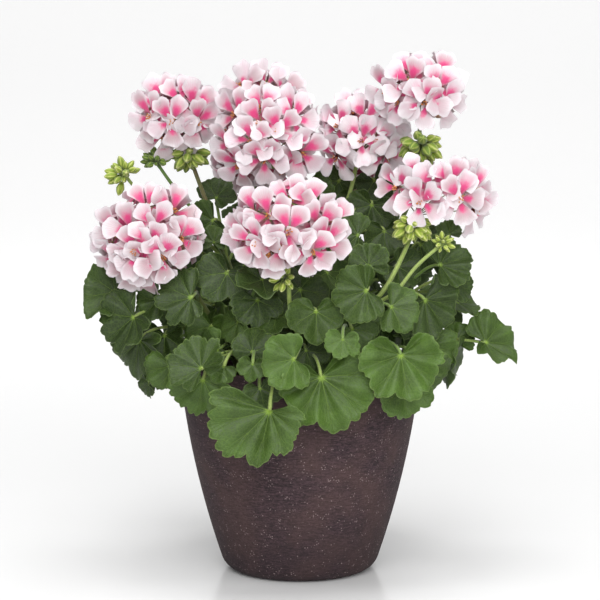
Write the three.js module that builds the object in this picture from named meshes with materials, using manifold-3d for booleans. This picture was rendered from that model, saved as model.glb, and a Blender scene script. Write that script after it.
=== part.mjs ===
// A potted zonal geranium in bloom, in millimetres, +Z up, standing on its pot.
// The origin is the centre of the pot's flat base. The front of the plant faces -Y and its right is +X.
import * as THREE from "three";
import { mergeVertices } from "three/addons/utils/BufferGeometryUtils.js";
import Module from "manifold-3d";

const wasm = await Module();
wasm.setup();

// Pot: a round planter whose wall widens upwards in one gentle curve.
const POT_HEIGHT = 222;
const POT_FOOT_RADIUS = 65.5;
const POT_FOOT_ROUND = 13;
const POT_WALL_START = 78.5;
const POT_WALL_FLARE = 0.353;
const POT_WALL_BULGE = 0.000591;
const POT_WALL = 7;
const POT_FLOOR = 10;
const POT_RIM_ROUND = 2;
const POT_SIDES = 28;
const POT_RINGS = 4;
const DRAIN_COUNT = 5;
const DRAIN_CIRCLE = 42;
const DRAIN_RADIUS = 6;

// Soil: fills the pot to below the rim, with a slightly lumpy top.
const SOIL_TOP = 203;
const SOIL_LUMP = 4;
const SOIL_GAP = 0.6;
const STEM_DEPTH = 30;

// Foliage.
const STEM_RADIUS = 4.6;
const PETIOLE_RADIUS = 1.5;
const STALK_RADIUS = 2.6;
const BLADE_THICKNESS = 0.9;
const BLADE_OPEN = (7 * Math.PI) / 8;
const BLADE_TIP_REACH = 1.05;
const BLADE_BASE_LOSS = 0.3;
const BLADE_NOTCH = 0.1;
const BLADE_PLEAT = 0.05;
const BLADE_CUP = 0.1;
const BLADE_BEND = 0.12;
// A petiole's two handles: how far it leaves the blade backwards and upwards, how far out from its stem the
// other one lies, and how high it arches, all as shares of its span. Under RIM_PASS over the rim it arches more.
const PETIOLE_BEHIND = 0.2;
const PETIOLE_ABOVE = 0.1;
const PETIOLE_LEAVE = 0.3;
const PETIOLE_ARCH = 0.16;
const RIM_PASS = 20;
// Where the petioles leave a stem: the lowest in stem radii over the soil, and the highest as a share of the
// whole curve of the stem.
const FIRST_PETIOLE = 3;
const LAST_PETIOLE = 0.97;

// A large leaf has seven lobes and a middle ring, one of the usual size seven lobes, and a small one five.
// half counts the lobes and notches on each side of the midrib, and rings are shares of the way out.
const LARGE_LEAF = 38;
const SMALL_LEAF = 30;
const LARGE_BLADE = { half: 7, rings: [0.58, 1], sides: 4, steps: 4 };
const USUAL_BLADE = { half: 7, rings: [1], sides: 3, steps: 2 };
const SMALL_BLADE = { half: 5, rings: [1], sides: 3, steps: 2 };

// Florets and buds. A floret is five petals round a middle, on a thin pedicel from the head's core.
const PETALS = 5;
const FLORET_RADIUS = 22;
const FLORET_CUP = 4;
const FLORET_DEPTH = 2.6;
const PETAL_LEVEL = -0.87;
const PEDICEL_RADIUS = 2.2;
// A petal's edge from one gap to the next: shares of the floret's radius and of the petal's width.
const PETAL_EDGE = [[0.36, 0], [0.9, 0.2], [1, 0.5], [0.9, 0.8]];
// How far below its centre a full head has florets, as a share of its radius.
const HEAD_DEPTH = 0.55;
const CORE_SHARE = 0.4;
const REAR_RISE = 0.3;
const LOOSE_CORE_SHARE = 0.27;
// Past this slope a floret's own up is taken from the back, since it looks straight up.
const STEEP = 0.95;
const BUD_LENGTH = 16;
const BUD_RADIUS = 3.2;
const BUD_WIDEST = 0.68;
const BUD_KNOT = 4.5;

// Pieces that touch in life keep this much air here.
const CLEARANCE = 0.3;
const SOCKET_DEPTH = 7;
const SOCKET_RADIUS = 4.2;
const GOLDEN_ANGLE = Math.PI * (3 - Math.sqrt(5));

const COLOURS = {
  pot: { color: 0x4b3a3e, roughness: 0.85, metalness: 0 },
  soil: { color: 0x2b211b, roughness: 1, metalness: 0 },
  leaf: { color: 0x4f7a36, roughness: 0.6, metalness: 0 },
  petal: { color: 0xf3dfe8, roughness: 0.55, metalness: 0 },
};

// Leafy stems. foot is where a stem leaves the soil and tip is its top.
// A leaf row is [x, y, z, size, turn, tilt, spin, cup, bend]: the joint of blade and petiole, the half width,
// the side its upper face looks to (0 front, 90 right), how far that face tips up, and how far the blade's
// end swings from straight down towards the right. cup and bend are left out where they are the usual ones.
const STEMS = {
  leafy_stem_front_left: {
    foot: [-34, -44],
    tip: [-60, -74, 285],
    leaves: [
      [-98, -137, 234, 31, -8, 20, -135],
      [-76, -130, 235, 17, -10, 5, -30],
      [-47, -140, 239, 16, 0, 15, -10],
      [-97, -120, 220, 34, -18, 0, -12],
      [-131, -98, 231, 24, -30, 5, -20],
      [-74, -78, 323, 30, -5, 20, -25],
      [-43, -85, 296, 27, 0, 20, 10],
      [-91, -55, 265, 28, -20, 20, -10],
      [-48, -122, 248, 24, -5, 25, 175],
      [-38, -95, 318, 26, 0, 55, 10],
    ],
  },
  leafy_stem_front: {
    foot: [2, -52],
    tip: [-4, -80, 270],
    leaves: [
      [-30, -162, 196, 42, 0, 12, -48],
      [-6, -152, 246, 30, 0, 15, -80],
      [21, -140, 226, 50, 8, 8, 12],
      [16, -120, 289, 29, 5, 25, 0],
      [6, -108, 248, 22, 0, 15, 20],
      [0, -70, 305, 30, 0, 15, 15],
      [-36, -28, 273, 30, 0, 15, -20],
    ],
  },
  leafy_stem_front_right: {
    foot: [38, -42],
    tip: [64, -74, 290],
    leaves: [
      [42, -155, 266, 19, 5, 20, -10],
      [52, -118, 271, 22, 10, 20, 25],
      [66, -128, 311, 31, -3, 12, -75],
      [91, -115, 293, 27, 10, 20, 75],
      [100, -140, 248, 42, 5, 22, 8],
      [103, -112, 212, 30, 15, 5, 10],
      [69, -85, 331, 22, 0, 20, 170],
      [133, -60, 246, 28, 25, 10, 15],
      [130, -90, 229, 24, 40, 0, 25],
    ],
  },
  leafy_stem_left: {
    foot: [-62, -4],
    tip: [-112, -36, 300],
    leaves: [
      [-190, -50, 300, 36, -20, 30, -118],
      [-169, -75, 277, 36, -30, 20, -50],
      [-164, -62, 252, 37, -40, 8, -14],
      [-154, -75, 210, 15, -60, 0, 5],
      [-110, -96, 300, 32, -10, 25, -75],
      [-145, -70, 294, 20, -20, 15, -40],
      [-139, -50, 255, 28, -20, 10, 0],
    ],
  },
  leafy_stem_right: {
    foot: [62, 0],
    tip: [106, -28, 300],
    leaves: [
      [127, -75, 295, 36, 35, 5, 40],
      [143, -60, 329, 31, 15, 30, 105],
      [161, -40, 309, 20, 40, 20, 50],
      [164, -15, 284, 24, 30, 55, 95],
      [192, -40, 246, 36, 20, 50, 90],
      [162, -30, 245, 20, 20, 10, 165],
      [160, -45, 237, 23, 70, -5, 30],
      [155, -25, 357, 14, 10, 20, 180],
      [125, -10, 345, 28, 10, 15, 60],
      [101, -40, 325, 24, 5, 15, 60],
    ],
  },
  leafy_stem_centre: {
    foot: [0, 0],
    tip: [6, -4, 330],
    leaves: [
      [88, 0, 358, 26, 5, 25, 0],
      [76, 30, 383, 28, 0, 20, -20],
      [60, -25, 356, 24, 0, 20, -100],
    ],
  },
  leafy_stem_back_left: {
    foot: [-40, 40],
    tip: [-82, 44, 330],
    leaves: [
      [-89, 45, 389, 22, -10, 30, 150],
      [-92, 25, 367, 26, -20, 20, -60],
      [-89, -30, 349, 17, -5, 20, 180],
    ],
    around: { from: 199, to: 262 },
  },
  leafy_stem_back: {
    foot: [0, 62],
    tip: [-8, 86, 330],
    leaves: [],
    around: { from: 157, to: 198 },
  },
  leafy_stem_back_right: {
    foot: [40, 42],
    tip: [84, 48, 330],
    leaves: [],
    around: { from: 90, to: 156 },
  },
};

// The leaves at the back stand in rings round the pot. reach is from the middle, and first and step are the
// first leaf's turn and the way on to the next. Heights and spins vary by up to the two amounts below.
const BACK_RINGS = [
  { height: 226, reach: 158, size: 36, tilt: 8, first: 105, step: 25, count: 7 },
  { height: 276, reach: 160, size: 38, tilt: 22, first: 103, step: 26, count: 7 },
  { height: 326, reach: 132, size: 36, tilt: 38, first: 100, step: 25, count: 7 },
  { height: 368, reach: 92, size: 32, tilt: 52, first: 128, step: 42, count: 3 },
];
const BACK_SPREAD = 8;
const BACK_SPIN = 20;

// Flower heads. centre and radius are those of the ball that the florets lie on, hub is the top of the stalk
// where it isn't the centre, and route is the stalk's way from its stem. A full head has count florets, and
// turn turns their spread. The loose head lists its florets, as steps right and up from the centre, and the
// turns of those behind.
const HEADS = {
  bloom_centre_top: {
    centre: [-33, -15, 456],
    radius: 56,
    count: 13,
    stem: "leafy_stem_centre",
    route: [[-18, -10, 380]],
  },
  bloom_back_top: {
    centre: [-41, 100, 482],
    radius: 43,
    count: 8,
    stem: "leafy_stem_back",
    route: [[-24, 96, 400]],
  },
  bloom_left_top: {
    centre: [-131, 35, 474],
    radius: 42,
    count: 9,
    turn: 24,
    stem: "leafy_stem_back_left",
    route: [[-92, 38, 365], [-106, 36, 404]],
  },
  bloom_left: {
    centre: [-153, -60, 355],
    radius: 54,
    count: 12,
    turn: 24,
    stem: "leafy_stem_left",
    route: [],
  },
  bloom_front: {
    centre: [-12, -110, 368],
    radius: 56,
    count: 13,
    stem: "leafy_stem_front",
    route: [[-10, -104, 290]],
  },
  bloom_right_top: {
    centre: [66, 60, 448],
    radius: 46,
    count: 9,
    turn: 24,
    stem: "leafy_stem_centre",
    route: [[30, 30, 355], [50, 50, 385]],
  },
  bloom_far_right_top: {
    centre: [125, 0, 501],
    radius: 43,
    count: 9,
    turn: 24,
    stem: "leafy_stem_back_right",
    route: [[112, 14, 380], [123, 2, 430]],
  },
  bloom_right: {
    centre: [137, -30, 398],
    hub: [122, -42, 386],
    radius: 54,
    stem: "leafy_stem_front_right",
    route: [[83, -82, 303], [112, -52, 354]],
    florets: [[-17, -4], [26, 0], [-41, 12], [14, 32], [-20, 38], [48, -16], [50, 18]],
    behind: [130, 190],
  },
  bloom_behind_left: {
    centre: [-60, 170, 415],
    radius: 40,
    count: 7,
    stem: "leafy_stem_back",
    route: [[-34, 120, 360]],
  },
  bloom_behind_right: {
    centre: [78, 150, 405],
    radius: 40,
    count: 7,
    stem: "leafy_stem_back_right",
    route: [[84, 108, 350]],
  },
};

// Buds. A cluster is on a stalk of its own, from a stem by a route, or sits under a head on the head's stalk.
// aim is the way the cluster points, and from and to are how far its buds stand off that way, in degrees.
const BUD_CLUSTERS = [
  {
    stem: "leafy_stem_back_left",
    route: [[-132, 28, 375], [-172, 14, 402]],
    knot: [-184, 10, 419],
    aim: [-0.6, -0.25, 0.75],
    from: 0,
    to: 115,
    count: 8,
  },
  {
    stem: "leafy_stem_back_left",
    route: [[-112, 34, 375], [-136, 29, 406]],
    knot: [-152, 29, 429],
    aim: [-0.3, -0.3, 0.9],
    from: 0,
    to: 90,
    count: 6,
    length: 0.7,
  },
  {
    stem: "leafy_stem_front_right",
    route: [[95, -90, 304], [118, -86, 331]],
    knot: [144, -80, 353],
    aim: [0.5, -0.4, 0.75],
    from: 0,
    to: 100,
    count: 6,
    length: 0.75,
  },
  { head: "bloom_left_top", knot: [-117, 34, 436], aim: [0, 0, -1], from: 48, to: 88, count: 5 },
  { head: "bloom_far_right_top", knot: [125, 0, 446], aim: [0, 0, -1], from: 42, to: 100, count: 7 },
  { head: "bloom_right", knot: [113, -50, 368], aim: [0, 0, -1], from: 40, to: 90, count: 6 },
  { head: "bloom_front", knot: [-11, -107, 318], aim: [0, -1, 0.1], from: 50, to: 80, count: 4, length: 0.6 },
];

const rad = THREE.MathUtils.degToRad;
const vec = (row) => new THREE.Vector3(row[0], row[1], row[2]);

// A closed geometry as a solid, without the faces that shrink to a line at a pole.
function solidOf(geometry) {
  geometry.deleteAttribute("normal");
  geometry.deleteAttribute("uv");
  const merged = mergeVertices(geometry, 1e-4);
  const corners = merged.index.array;
  const index = [];
  for (let i = 0; i < corners.length; i += 3) {
    const [a, b, c] = corners.slice(i, i + 3);
    if (a !== b && b !== c && c !== a) index.push(a, b, c);
  }
  const vertProperties = merged.getAttribute("position").array;
  return new wasm.Manifold(new wasm.Mesh({ numProp: 3, vertProperties, triVerts: new Uint32Array(index) }));
}

// Solids grown into one body. Sealed hollows and loose scraps are left out.
function fuse(solids) {
  const pieces = wasm.Manifold.union(solids).decompose();
  return pieces.reduce((best, piece) => (piece.volume() > best.volume() ? piece : best));
}

// A named mesh of a solid.
function meshOf(name, solid, look) {
  const made = solid.getMesh();
  const geometry = new THREE.BufferGeometry();
  geometry.setAttribute("position", new THREE.BufferAttribute(made.vertProperties, 3));
  geometry.setIndex(new THREE.BufferAttribute(made.triVerts, 1));
  const mesh = new THREE.Mesh(geometry, new THREE.MeshStandardMaterial(look));
  mesh.name = name;
  return mesh;
}

// A round bar of a few flat sides along a curve through the points.
function bar(points, radius, sides, steps) {
  const section = new THREE.Shape(
    Array.from({ length: sides }, (_, i) => {
      const angle = (2 * Math.PI * i) / sides;
      return new THREE.Vector2(radius * Math.cos(angle), radius * Math.sin(angle));
    }),
  );
  const path = points.length > 2 ? new THREE.CatmullRomCurve3(points) : new THREE.LineCurve3(...points);
  return solidOf(new THREE.ExtrudeGeometry(section, { steps, extrudePath: path, bevelEnabled: false }));
}

// The outer radius of the pot's wall at a height.
const wallRadius = (z) => POT_WALL_START + POT_WALL_FLARE * z - POT_WALL_BULGE * z * z;

// A body of revolution about Z from [radius, height] points.
function turned(profile) {
  const points = profile.map(([r, z]) => new THREE.Vector2(r, z));
  return solidOf(new THREE.LatheGeometry(points, POT_SIDES).rotateX(Math.PI / 2));
}

// The heights of the rings of the pot's inside. The soil has the same ones up to its top.
const INSIDE_HEIGHTS = [POT_FLOOR, (POT_FLOOR + SOIL_TOP) / 2, SOIL_TOP, POT_HEIGHT];

function potSolid() {
  const slack = wallRadius(POT_FOOT_ROUND) - POT_FOOT_RADIUS - POT_FOOT_ROUND;
  const foot = [30, 60].map((deg) => {
    const reach = POT_FOOT_ROUND * Math.sin(rad(deg));
    const drop = POT_FOOT_ROUND * (1 - Math.cos(rad(deg)));
    const share = drop / POT_FOOT_ROUND;
    return [POT_FOOT_RADIUS + reach + slack * share, drop];
  });
  const rimStart = POT_HEIGHT - POT_RIM_ROUND;
  const outside = Array.from({ length: POT_RINGS }, (_, i) => {
    const z = POT_FOOT_ROUND + ((rimStart - POT_FOOT_ROUND) * i) / (POT_RINGS - 1);
    return [wallRadius(z), z];
  });
  const inside = INSIDE_HEIGHTS.map((z) => [wallRadius(z) - POT_WALL, z]);
  const profile = [
    [0, 0],
    [POT_FOOT_RADIUS, 0],
    ...foot,
    ...outside,
    [wallRadius(POT_HEIGHT) - POT_RIM_ROUND, POT_HEIGHT],
    ...inside.reverse(),
    [0, POT_FLOOR],
  ];
  const holes = Array.from({ length: DRAIN_COUNT }, (_, i) => {
    const hole = new THREE.CylinderGeometry(DRAIN_RADIUS, DRAIN_RADIUS, 3 * POT_FLOOR, 7);
    hole.rotateX(Math.PI / 2);
    hole.translate(DRAIN_CIRCLE, 0, POT_FLOOR / 2);
    hole.rotateZ((2 * Math.PI * i) / DRAIN_COUNT);
    return solidOf(hole);
  });
  return turned(profile).subtract(wasm.Manifold.union(holes));
}

// The soil keeps clear of the pot all round and has a plain hole for each stem.
function soilSolid() {
  const low = POT_FLOOR + CLEARANCE;
  const edge = (z) => wallRadius(z) - POT_WALL - SOIL_GAP;
  const profile = [
    [0, low],
    [edge(POT_FLOOR), low],
    [edge(INSIDE_HEIGHTS[1]), INSIDE_HEIGHTS[1]],
    [edge(SOIL_TOP), SOIL_TOP],
    [edge(SOIL_TOP) / 2, SOIL_TOP + SOIL_LUMP],
    [0, SOIL_TOP + SOIL_LUMP / 2],
  ];
  const radius = STEM_RADIUS + SOIL_GAP;
  const sockets = Object.values(STEMS).map(({ foot, tip }) => stemBar(foot, tip, radius, 1));
  return turned(profile).subtract(wasm.Manifold.union(sockets));
}

// The curve of a main stem: straight up out of the soil, then leaning out to its tip.
function stemCurve(foot, tip) {
  return new THREE.CatmullRomCurve3([
    new THREE.Vector3(foot[0], foot[1], SOIL_TOP - STEM_DEPTH),
    new THREE.Vector3(foot[0], foot[1], SOIL_TOP + STEM_RADIUS),
    vec(tip),
  ]);
}

// A main stem, or with deeper set its socket, which goes that much further into the soil.
function stemBar(foot, tip, radius, deeper) {
  const curve = stemCurve(foot, tip);
  const start = curve.points[0].clone();
  start.z -= deeper;
  return bar([start, curve.points[1], curve.points[2]], radius, 6, 4);
}

// One outline point of a blade in its own frame, on a ring that is a share of the way out from the joint.
// The joint is the origin, the upper face looks to -Y, and the blade's end points down. side is -1 on the
// upper face and 1 underneath. The lobes are pleated, and the blade is cupped round its joint and bent.
function bladePoint(size, cup, bend, angle, between, share, side) {
  const loss = BLADE_BASE_LOSS * Math.pow(Math.abs(angle) / Math.PI, 1.6);
  const reach = share * size * (BLADE_TIP_REACH - loss) * (between ? 1 - BLADE_NOTCH : 1);
  const end = share * Math.max(0, Math.cos(angle));
  const pleat = BLADE_PLEAT * share * (between ? 1 : -1);
  const lift = size * (cup * share * share - bend * end * end + pleat);
  return new THREE.Vector3(
    reach * Math.sin(angle),
    (side * BLADE_THICKNESS) / 2 - lift,
    -reach * Math.cos(angle),
  );
}

// The way of a petiole from the joint of its blade back to its root on the stem, over the rim of the pot.
function petiolePath(joint, back, open, root) {
  const span = root.distanceTo(joint);
  const over = Math.max(0, POT_HEIGHT + RIM_PASS - joint.z) / 2;
  const rise = new THREE.Vector3(0, 0, PETIOLE_ARCH * span + over);
  const arrive = joint.clone().add(rise);
  arrive.addScaledVector(back, PETIOLE_BEHIND * span).addScaledVector(open, PETIOLE_ABOVE * span);
  const leave = root.clone().lerp(joint, PETIOLE_LEAVE).add(rise);
  return new THREE.CubicBezierCurve3(joint, arrive, leave, root);
}

// A leaf in one piece: a round lobed blade, open towards its petiole, and the petiole back to the stem.
function leafSolid(row, root) {
  const [x, y, z, size, turn, tilt, spin, cup = BLADE_CUP, bend = BLADE_BEND] = row;
  const kind = size > LARGE_LEAF ? LARGE_BLADE : size > SMALL_LEAF ? USUAL_BLADE : SMALL_BLADE;
  const { half, rings, sides, steps } = kind;
  const count = 2 * half + 1;
  const joint = new THREE.Vector3(x, y, z);
  const pose = new THREE.Euler(-rad(tilt), -rad(spin), rad(turn), "ZXY");
  const toPlace = new THREE.Matrix4().makeRotationFromEuler(pose).setPosition(joint);
  const points = [];
  const add = (point) => points.push(point) - 1;
  const index = [];
  const quad = (a, b, c, d) => index.push(a, c, b, b, c, d);

  // The upper face is a fan from the joint, and the underside a fan from the foot of the petiole.
  const grid = (side) =>
    rings.map((share) =>
      Array.from({ length: count }, (_, i) => {
        const k = i - half;
        const angle = (k * BLADE_OPEN) / half;
        const point = bladePoint(size, cup, bend, angle, Math.abs(k) % 2 === 1, share, side);
        return add(point.applyMatrix4(toPlace));
      }),
    );
  const middle = add(new THREE.Vector3(0, -BLADE_THICKNESS / 2, 0).applyMatrix4(toPlace));
  const upper = grid(-1);
  const under = grid(1);
  const foot = Array.from({ length: sides }, (_, i) => {
    const angle = Math.PI / 2 + (2 * Math.PI * i) / sides;
    const level = PETIOLE_RADIUS * (Math.sin(angle) - 1);
    const corner = new THREE.Vector3(PETIOLE_RADIUS * Math.cos(angle), BLADE_THICKNESS / 2, level);
    return add(corner.applyMatrix4(toPlace));
  });
  const nearest = (i) => foot[1 + Math.min(sides - 2, Math.floor((i * (sides - 1)) / count))];
  for (let i = 0; i < count - 1; i++) {
    index.push(middle, upper[0][i], upper[0][i + 1]);
    index.push(nearest(i), under[0][i + 1], under[0][i]);
    if (nearest(i) !== nearest(i + 1)) index.push(nearest(i), nearest(i + 1), under[0][i + 1]);
    for (let ring = 1; ring < rings.length; ring++) {
      quad(upper[ring][i], upper[ring - 1][i], upper[ring][i + 1], upper[ring - 1][i + 1]);
      quad(under[ring - 1][i], under[ring][i], under[ring - 1][i + 1], under[ring][i + 1]);
    }
  }
  index.push(foot[0], foot[1], under[0][0]);
  index.push(foot[0], under[0][count - 1], foot[sides - 1]);

  // The rim goes from the joint out along one side of the opening, round the lobes and back.
  const edge = (face, start) => [
    start,
    ...face.map((ring) => ring[0]),
    ...face.at(-1).slice(1, -1),
    ...face.map((ring) => ring.at(-1)).reverse(),
  ];
  const [front, rear] = [edge(upper, middle), edge(under, foot[0])];
  front.forEach((corner, i) => {
    const next = (i + 1) % front.length;
    quad(corner, front[next], rear[i], rear[next]);
  });

  // The petiole's rings turn with its path.
  const back = new THREE.Vector3(0, 1, 0).applyEuler(pose);
  const open = new THREE.Vector3(0, 0, 1).applyEuler(pose);
  const path = petiolePath(joint, back, open, root);
  const offsets = foot.map((corner) => points[corner].clone().sub(joint));
  let last = foot;
  let heading = back;
  for (let step = 1; step <= steps; step++) {
    const tangent = path.getTangent(step / steps);
    const turnBy = new THREE.Quaternion().setFromUnitVectors(heading, tangent);
    offsets.forEach((offset) => offset.applyQuaternion(turnBy));
    const ring = offsets.map((offset) => add(path.getPoint(step / steps).add(offset)));
    last.forEach((corner, i) => {
      const next = (i + 1) % sides;
      quad(corner, last[next], ring[i], ring[next]);
    });
    last = ring;
    heading = tangent;
  }
  for (let i = 1; i < sides - 1; i++) index.push(last[0], last[i + 1], last[i]);

  const geometry = new THREE.BufferGeometry().setFromPoints(points);
  geometry.setIndex(index);
  return solidOf(geometry);
}

// The back leaves of one stem: those of the rings that stand in its share of the way round.
function backLeaves({ from, to }) {
  const rows = BACK_RINGS.flatMap(({ height, reach, size, tilt, step, first, count }, ring) =>
    Array.from({ length: count }, (_, i) => {
      const turn = first + i * step;
      const x = reach * Math.sin(rad(turn));
      const y = -reach * Math.cos(rad(turn));
      const z = height + BACK_SPREAD * Math.sin(2 * i + ring);
      const spin = BACK_SPIN * (((i + ring) % 3) - 1);
      return [x, y, z, size, turn, tilt, spin];
    }),
  );
  return rows.filter((row) => row[4] >= from && row[4] <= to);
}

// The leaves of one stem. Their petioles leave it one above another, the lowest leaf's first.
function stemLeaves(name) {
  const { foot, tip, leaves, around } = STEMS[name];
  const rows = around ? [...leaves, ...backLeaves(around)] : [...leaves];
  rows.sort((a, b) => a[2] - b[2]);
  const curve = stemCurve(foot, tip);
  const low = 0.5 + (FIRST_PETIOLE * STEM_RADIUS) / (2 * (tip[2] - SOIL_TOP));
  const step = (LAST_PETIOLE - low) / (rows.length - 1);
  return rows.map((row, i) => leafSolid(row, curve.getPoint(low + step * i)));
}

// A floret in one piece: five petals round a middle, with a gap between two of them upwards, and its thin
// pedicel, which runs to a point in the core of the head.
function floretSolid(middle, way, root) {
  const steep = Math.abs(way.z) > STEEP;
  const up = new THREE.Vector3(0, steep ? 1 : 0, steep ? 0 : 1);
  const right = new THREE.Vector3().crossVectors(up, way).normalize();
  up.crossVectors(way, right);
  const toPlace = new THREE.Matrix4().makeBasis(right, up, way).setPosition(middle);
  const points = [new THREE.Vector3(0, 0, 0).applyMatrix4(toPlace), root];
  const add = (radius, angle, height) => {
    const point = new THREE.Vector3(radius * Math.cos(angle), radius * Math.sin(angle), height);
    return points.push(point.applyMatrix4(toPlace)) - 1;
  };
  const petals = Array.from({ length: PETALS }, (_, petal) => {
    const start = Math.PI / 2 + (2 * Math.PI * petal) / PETALS;
    const width = (2 * Math.PI) / PETALS;
    const edge = PETAL_EDGE.map(([share, across]) =>
      add(FLORET_RADIUS * share, start + across * width, FLORET_CUP * share * share + PETAL_LEVEL),
    );
    return { edge, neck: add(PEDICEL_RADIUS, start, -FLORET_DEPTH) };
  });
  const index = [];
  petals.forEach(({ edge, neck }, petal) => {
    const next = petals[(petal + 1) % PETALS];
    const rim = [...edge, next.edge[0]];
    const tip = PETAL_EDGE.length / 2;
    for (let i = 0; i < edge.length; i++) {
      index.push(0, rim[i], rim[i + 1]);
      index.push(i < tip ? neck : next.neck, rim[i + 1], rim[i]);
    }
    index.push(neck, next.neck, rim[tip]);
    index.push(neck, 1, next.neck);
  });
  const geometry = new THREE.BufferGeometry().setFromPoints(points);
  geometry.setIndex(index);
  return solidOf(geometry);
}

// The ways from a head's centre to its florets. A full head has an even spread from its top down to where the
// stalk is, and a loose one has the places that the front shows, as steps right and up, and a few behind.
function floretWays({ florets, count, radius, behind, turn = 0 }) {
  if (!florets) {
    return Array.from({ length: count }, (_, i) => {
      const height = 1 - ((1 + HEAD_DEPTH) * (i + 0.5)) / count;
      const level = Math.sqrt(1 - height * height);
      const angle = rad(turn) + i * GOLDEN_ANGLE;
      return new THREE.Vector3(level * Math.sin(angle), -level * Math.cos(angle), height);
    });
  }
  const front = florets.map(([right, up]) => {
    const depth = Math.sqrt(Math.max(0, radius * radius - right * right - up * up));
    return new THREE.Vector3(right, -depth, up).normalize();
  });
  const rear = behind.map((side) => {
    const angle = rad(side);
    return new THREE.Vector3(Math.sin(angle), -Math.cos(angle), REAR_RISE).normalize();
  });
  return [...front, ...rear];
}

// The place where a head's stalk ends inside its core, and the way it gets there.
function stalkEnd(head) {
  const hub = vec(head.hub ?? head.centre);
  const before = head.route.length ? vec(head.route.at(-1)) : vec(STEMS[head.stem].tip);
  const way = hub.clone().sub(before).normalize();
  const core = coreRadius(head);
  return { end: hub.clone().addScaledVector(way, SOCKET_DEPTH - core), way };
}

const coreRadius = (head) => (head.hub ? LOOSE_CORE_SHARE : CORE_SHARE) * head.radius;

// The petals of one head, on thin pedicels out of a small core that has a plain hole for the stalk.
function headSolid(head) {
  const centre = vec(head.centre);
  const hub = vec(head.hub ?? head.centre);
  const core = new THREE.IcosahedronGeometry(coreRadius(head), 0).translate(hub.x, hub.y, hub.z);
  const florets = floretWays(head).map((way) => {
    const middle = centre.clone().addScaledVector(way, head.radius);
    return floretSolid(middle, way, hub.clone().lerp(middle, 0.1));
  });
  const { end, way } = stalkEnd(head);
  const mouth = end.clone().addScaledVector(way, -head.radius);
  const bottom = end.clone().addScaledVector(way, CLEARANCE);
  return fuse([solidOf(core), ...florets]).subtract(bar([mouth, bottom], SOCKET_RADIUS, 4, 1));
}

// The stalk of a head or a bud cluster, from the top of its stem through its route to its end.
function stalkSolid(stem, route, end) {
  const start = vec(STEMS[stem].tip);
  start.z -= STEM_RADIUS;
  return bar([start, ...route.map(vec), end], STALK_RADIUS, 4, 4);
}

// A cluster of buds, each a slim spindle out of a small knot.
function budSolids({ knot, aim, from, to, count, length = 1 }) {
  const centre = vec(knot);
  const core = new THREE.OctahedronGeometry(BUD_KNOT, 0).translate(...knot);
  const towards = new THREE.Quaternion().setFromUnitVectors(new THREE.Vector3(0, 0, 1), vec(aim).normalize());
  const solids = [solidOf(core)];
  for (let i = 0; i < count; i++) {
    const share = (i + 0.5) / count;
    const off = Math.acos(Math.cos(rad(from)) + (Math.cos(rad(to)) - Math.cos(rad(from))) * share);
    const way = new THREE.Vector3().setFromSphericalCoords(1, off, i * GOLDEN_ANGLE);
    const profile = [[0, 0], [BUD_RADIUS, BUD_WIDEST * BUD_LENGTH], [0, BUD_LENGTH]];
    const points = profile.map(([r, z]) => new THREE.Vector2(r, z * length));
    const bud = new THREE.LatheGeometry(points, 4).rotateX(Math.PI / 2);
    way.set(way.x, way.z, way.y).applyQuaternion(towards);
    bud.applyQuaternion(new THREE.Quaternion().setFromUnitVectors(new THREE.Vector3(0, 0, 1), way));
    bud.translate(centre.x, centre.y, centre.z).translate(...way.multiplyScalar(BUD_KNOT / 2).toArray());
    solids.push(solidOf(bud));
  }
  return solids;
}

// A leafy stem with its leaves, and the stalks and buds that grow from it.
function leafyStemSolid(name) {
  const { foot, tip } = STEMS[name];
  const solids = [stemBar(foot, tip, STEM_RADIUS, 0), ...stemLeaves(name)];
  for (const head of Object.values(HEADS)) {
    if (head.stem === name) solids.push(stalkSolid(name, head.route, stalkEnd(head).end));
  }
  for (const cluster of BUD_CLUSTERS) {
    const stem = cluster.stem ?? HEADS[cluster.head].stem;
    if (stem !== name) continue;
    if (cluster.stem) solids.push(stalkSolid(name, cluster.route, vec(cluster.knot)));
    solids.push(...budSolids(cluster));
  }
  return fuse(solids);
}

const plant = new THREE.Group();
plant.add(meshOf("pot", potSolid(), COLOURS.pot));
plant.add(meshOf("soil", soilSolid(), COLOURS.soil));
for (const name of Object.keys(STEMS)) plant.add(meshOf(name, leafyStemSolid(name), COLOURS.leaf));
for (const [name, head] of Object.entries(HEADS)) plant.add(meshOf(name, headSolid(head), COLOURS.petal));

export default plant;
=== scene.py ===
"""A potted zonal geranium in bloom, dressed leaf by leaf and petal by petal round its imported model.

Shapes are worked out in millimetres, as in the part's source, and made metres when a piece is finished.
"""

import math
import random

import bmesh
import bpy
from bpy.props import FloatProperty, FloatVectorProperty, IntProperty, PointerProperty
from mathutils import Matrix, Vector, noise


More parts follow.
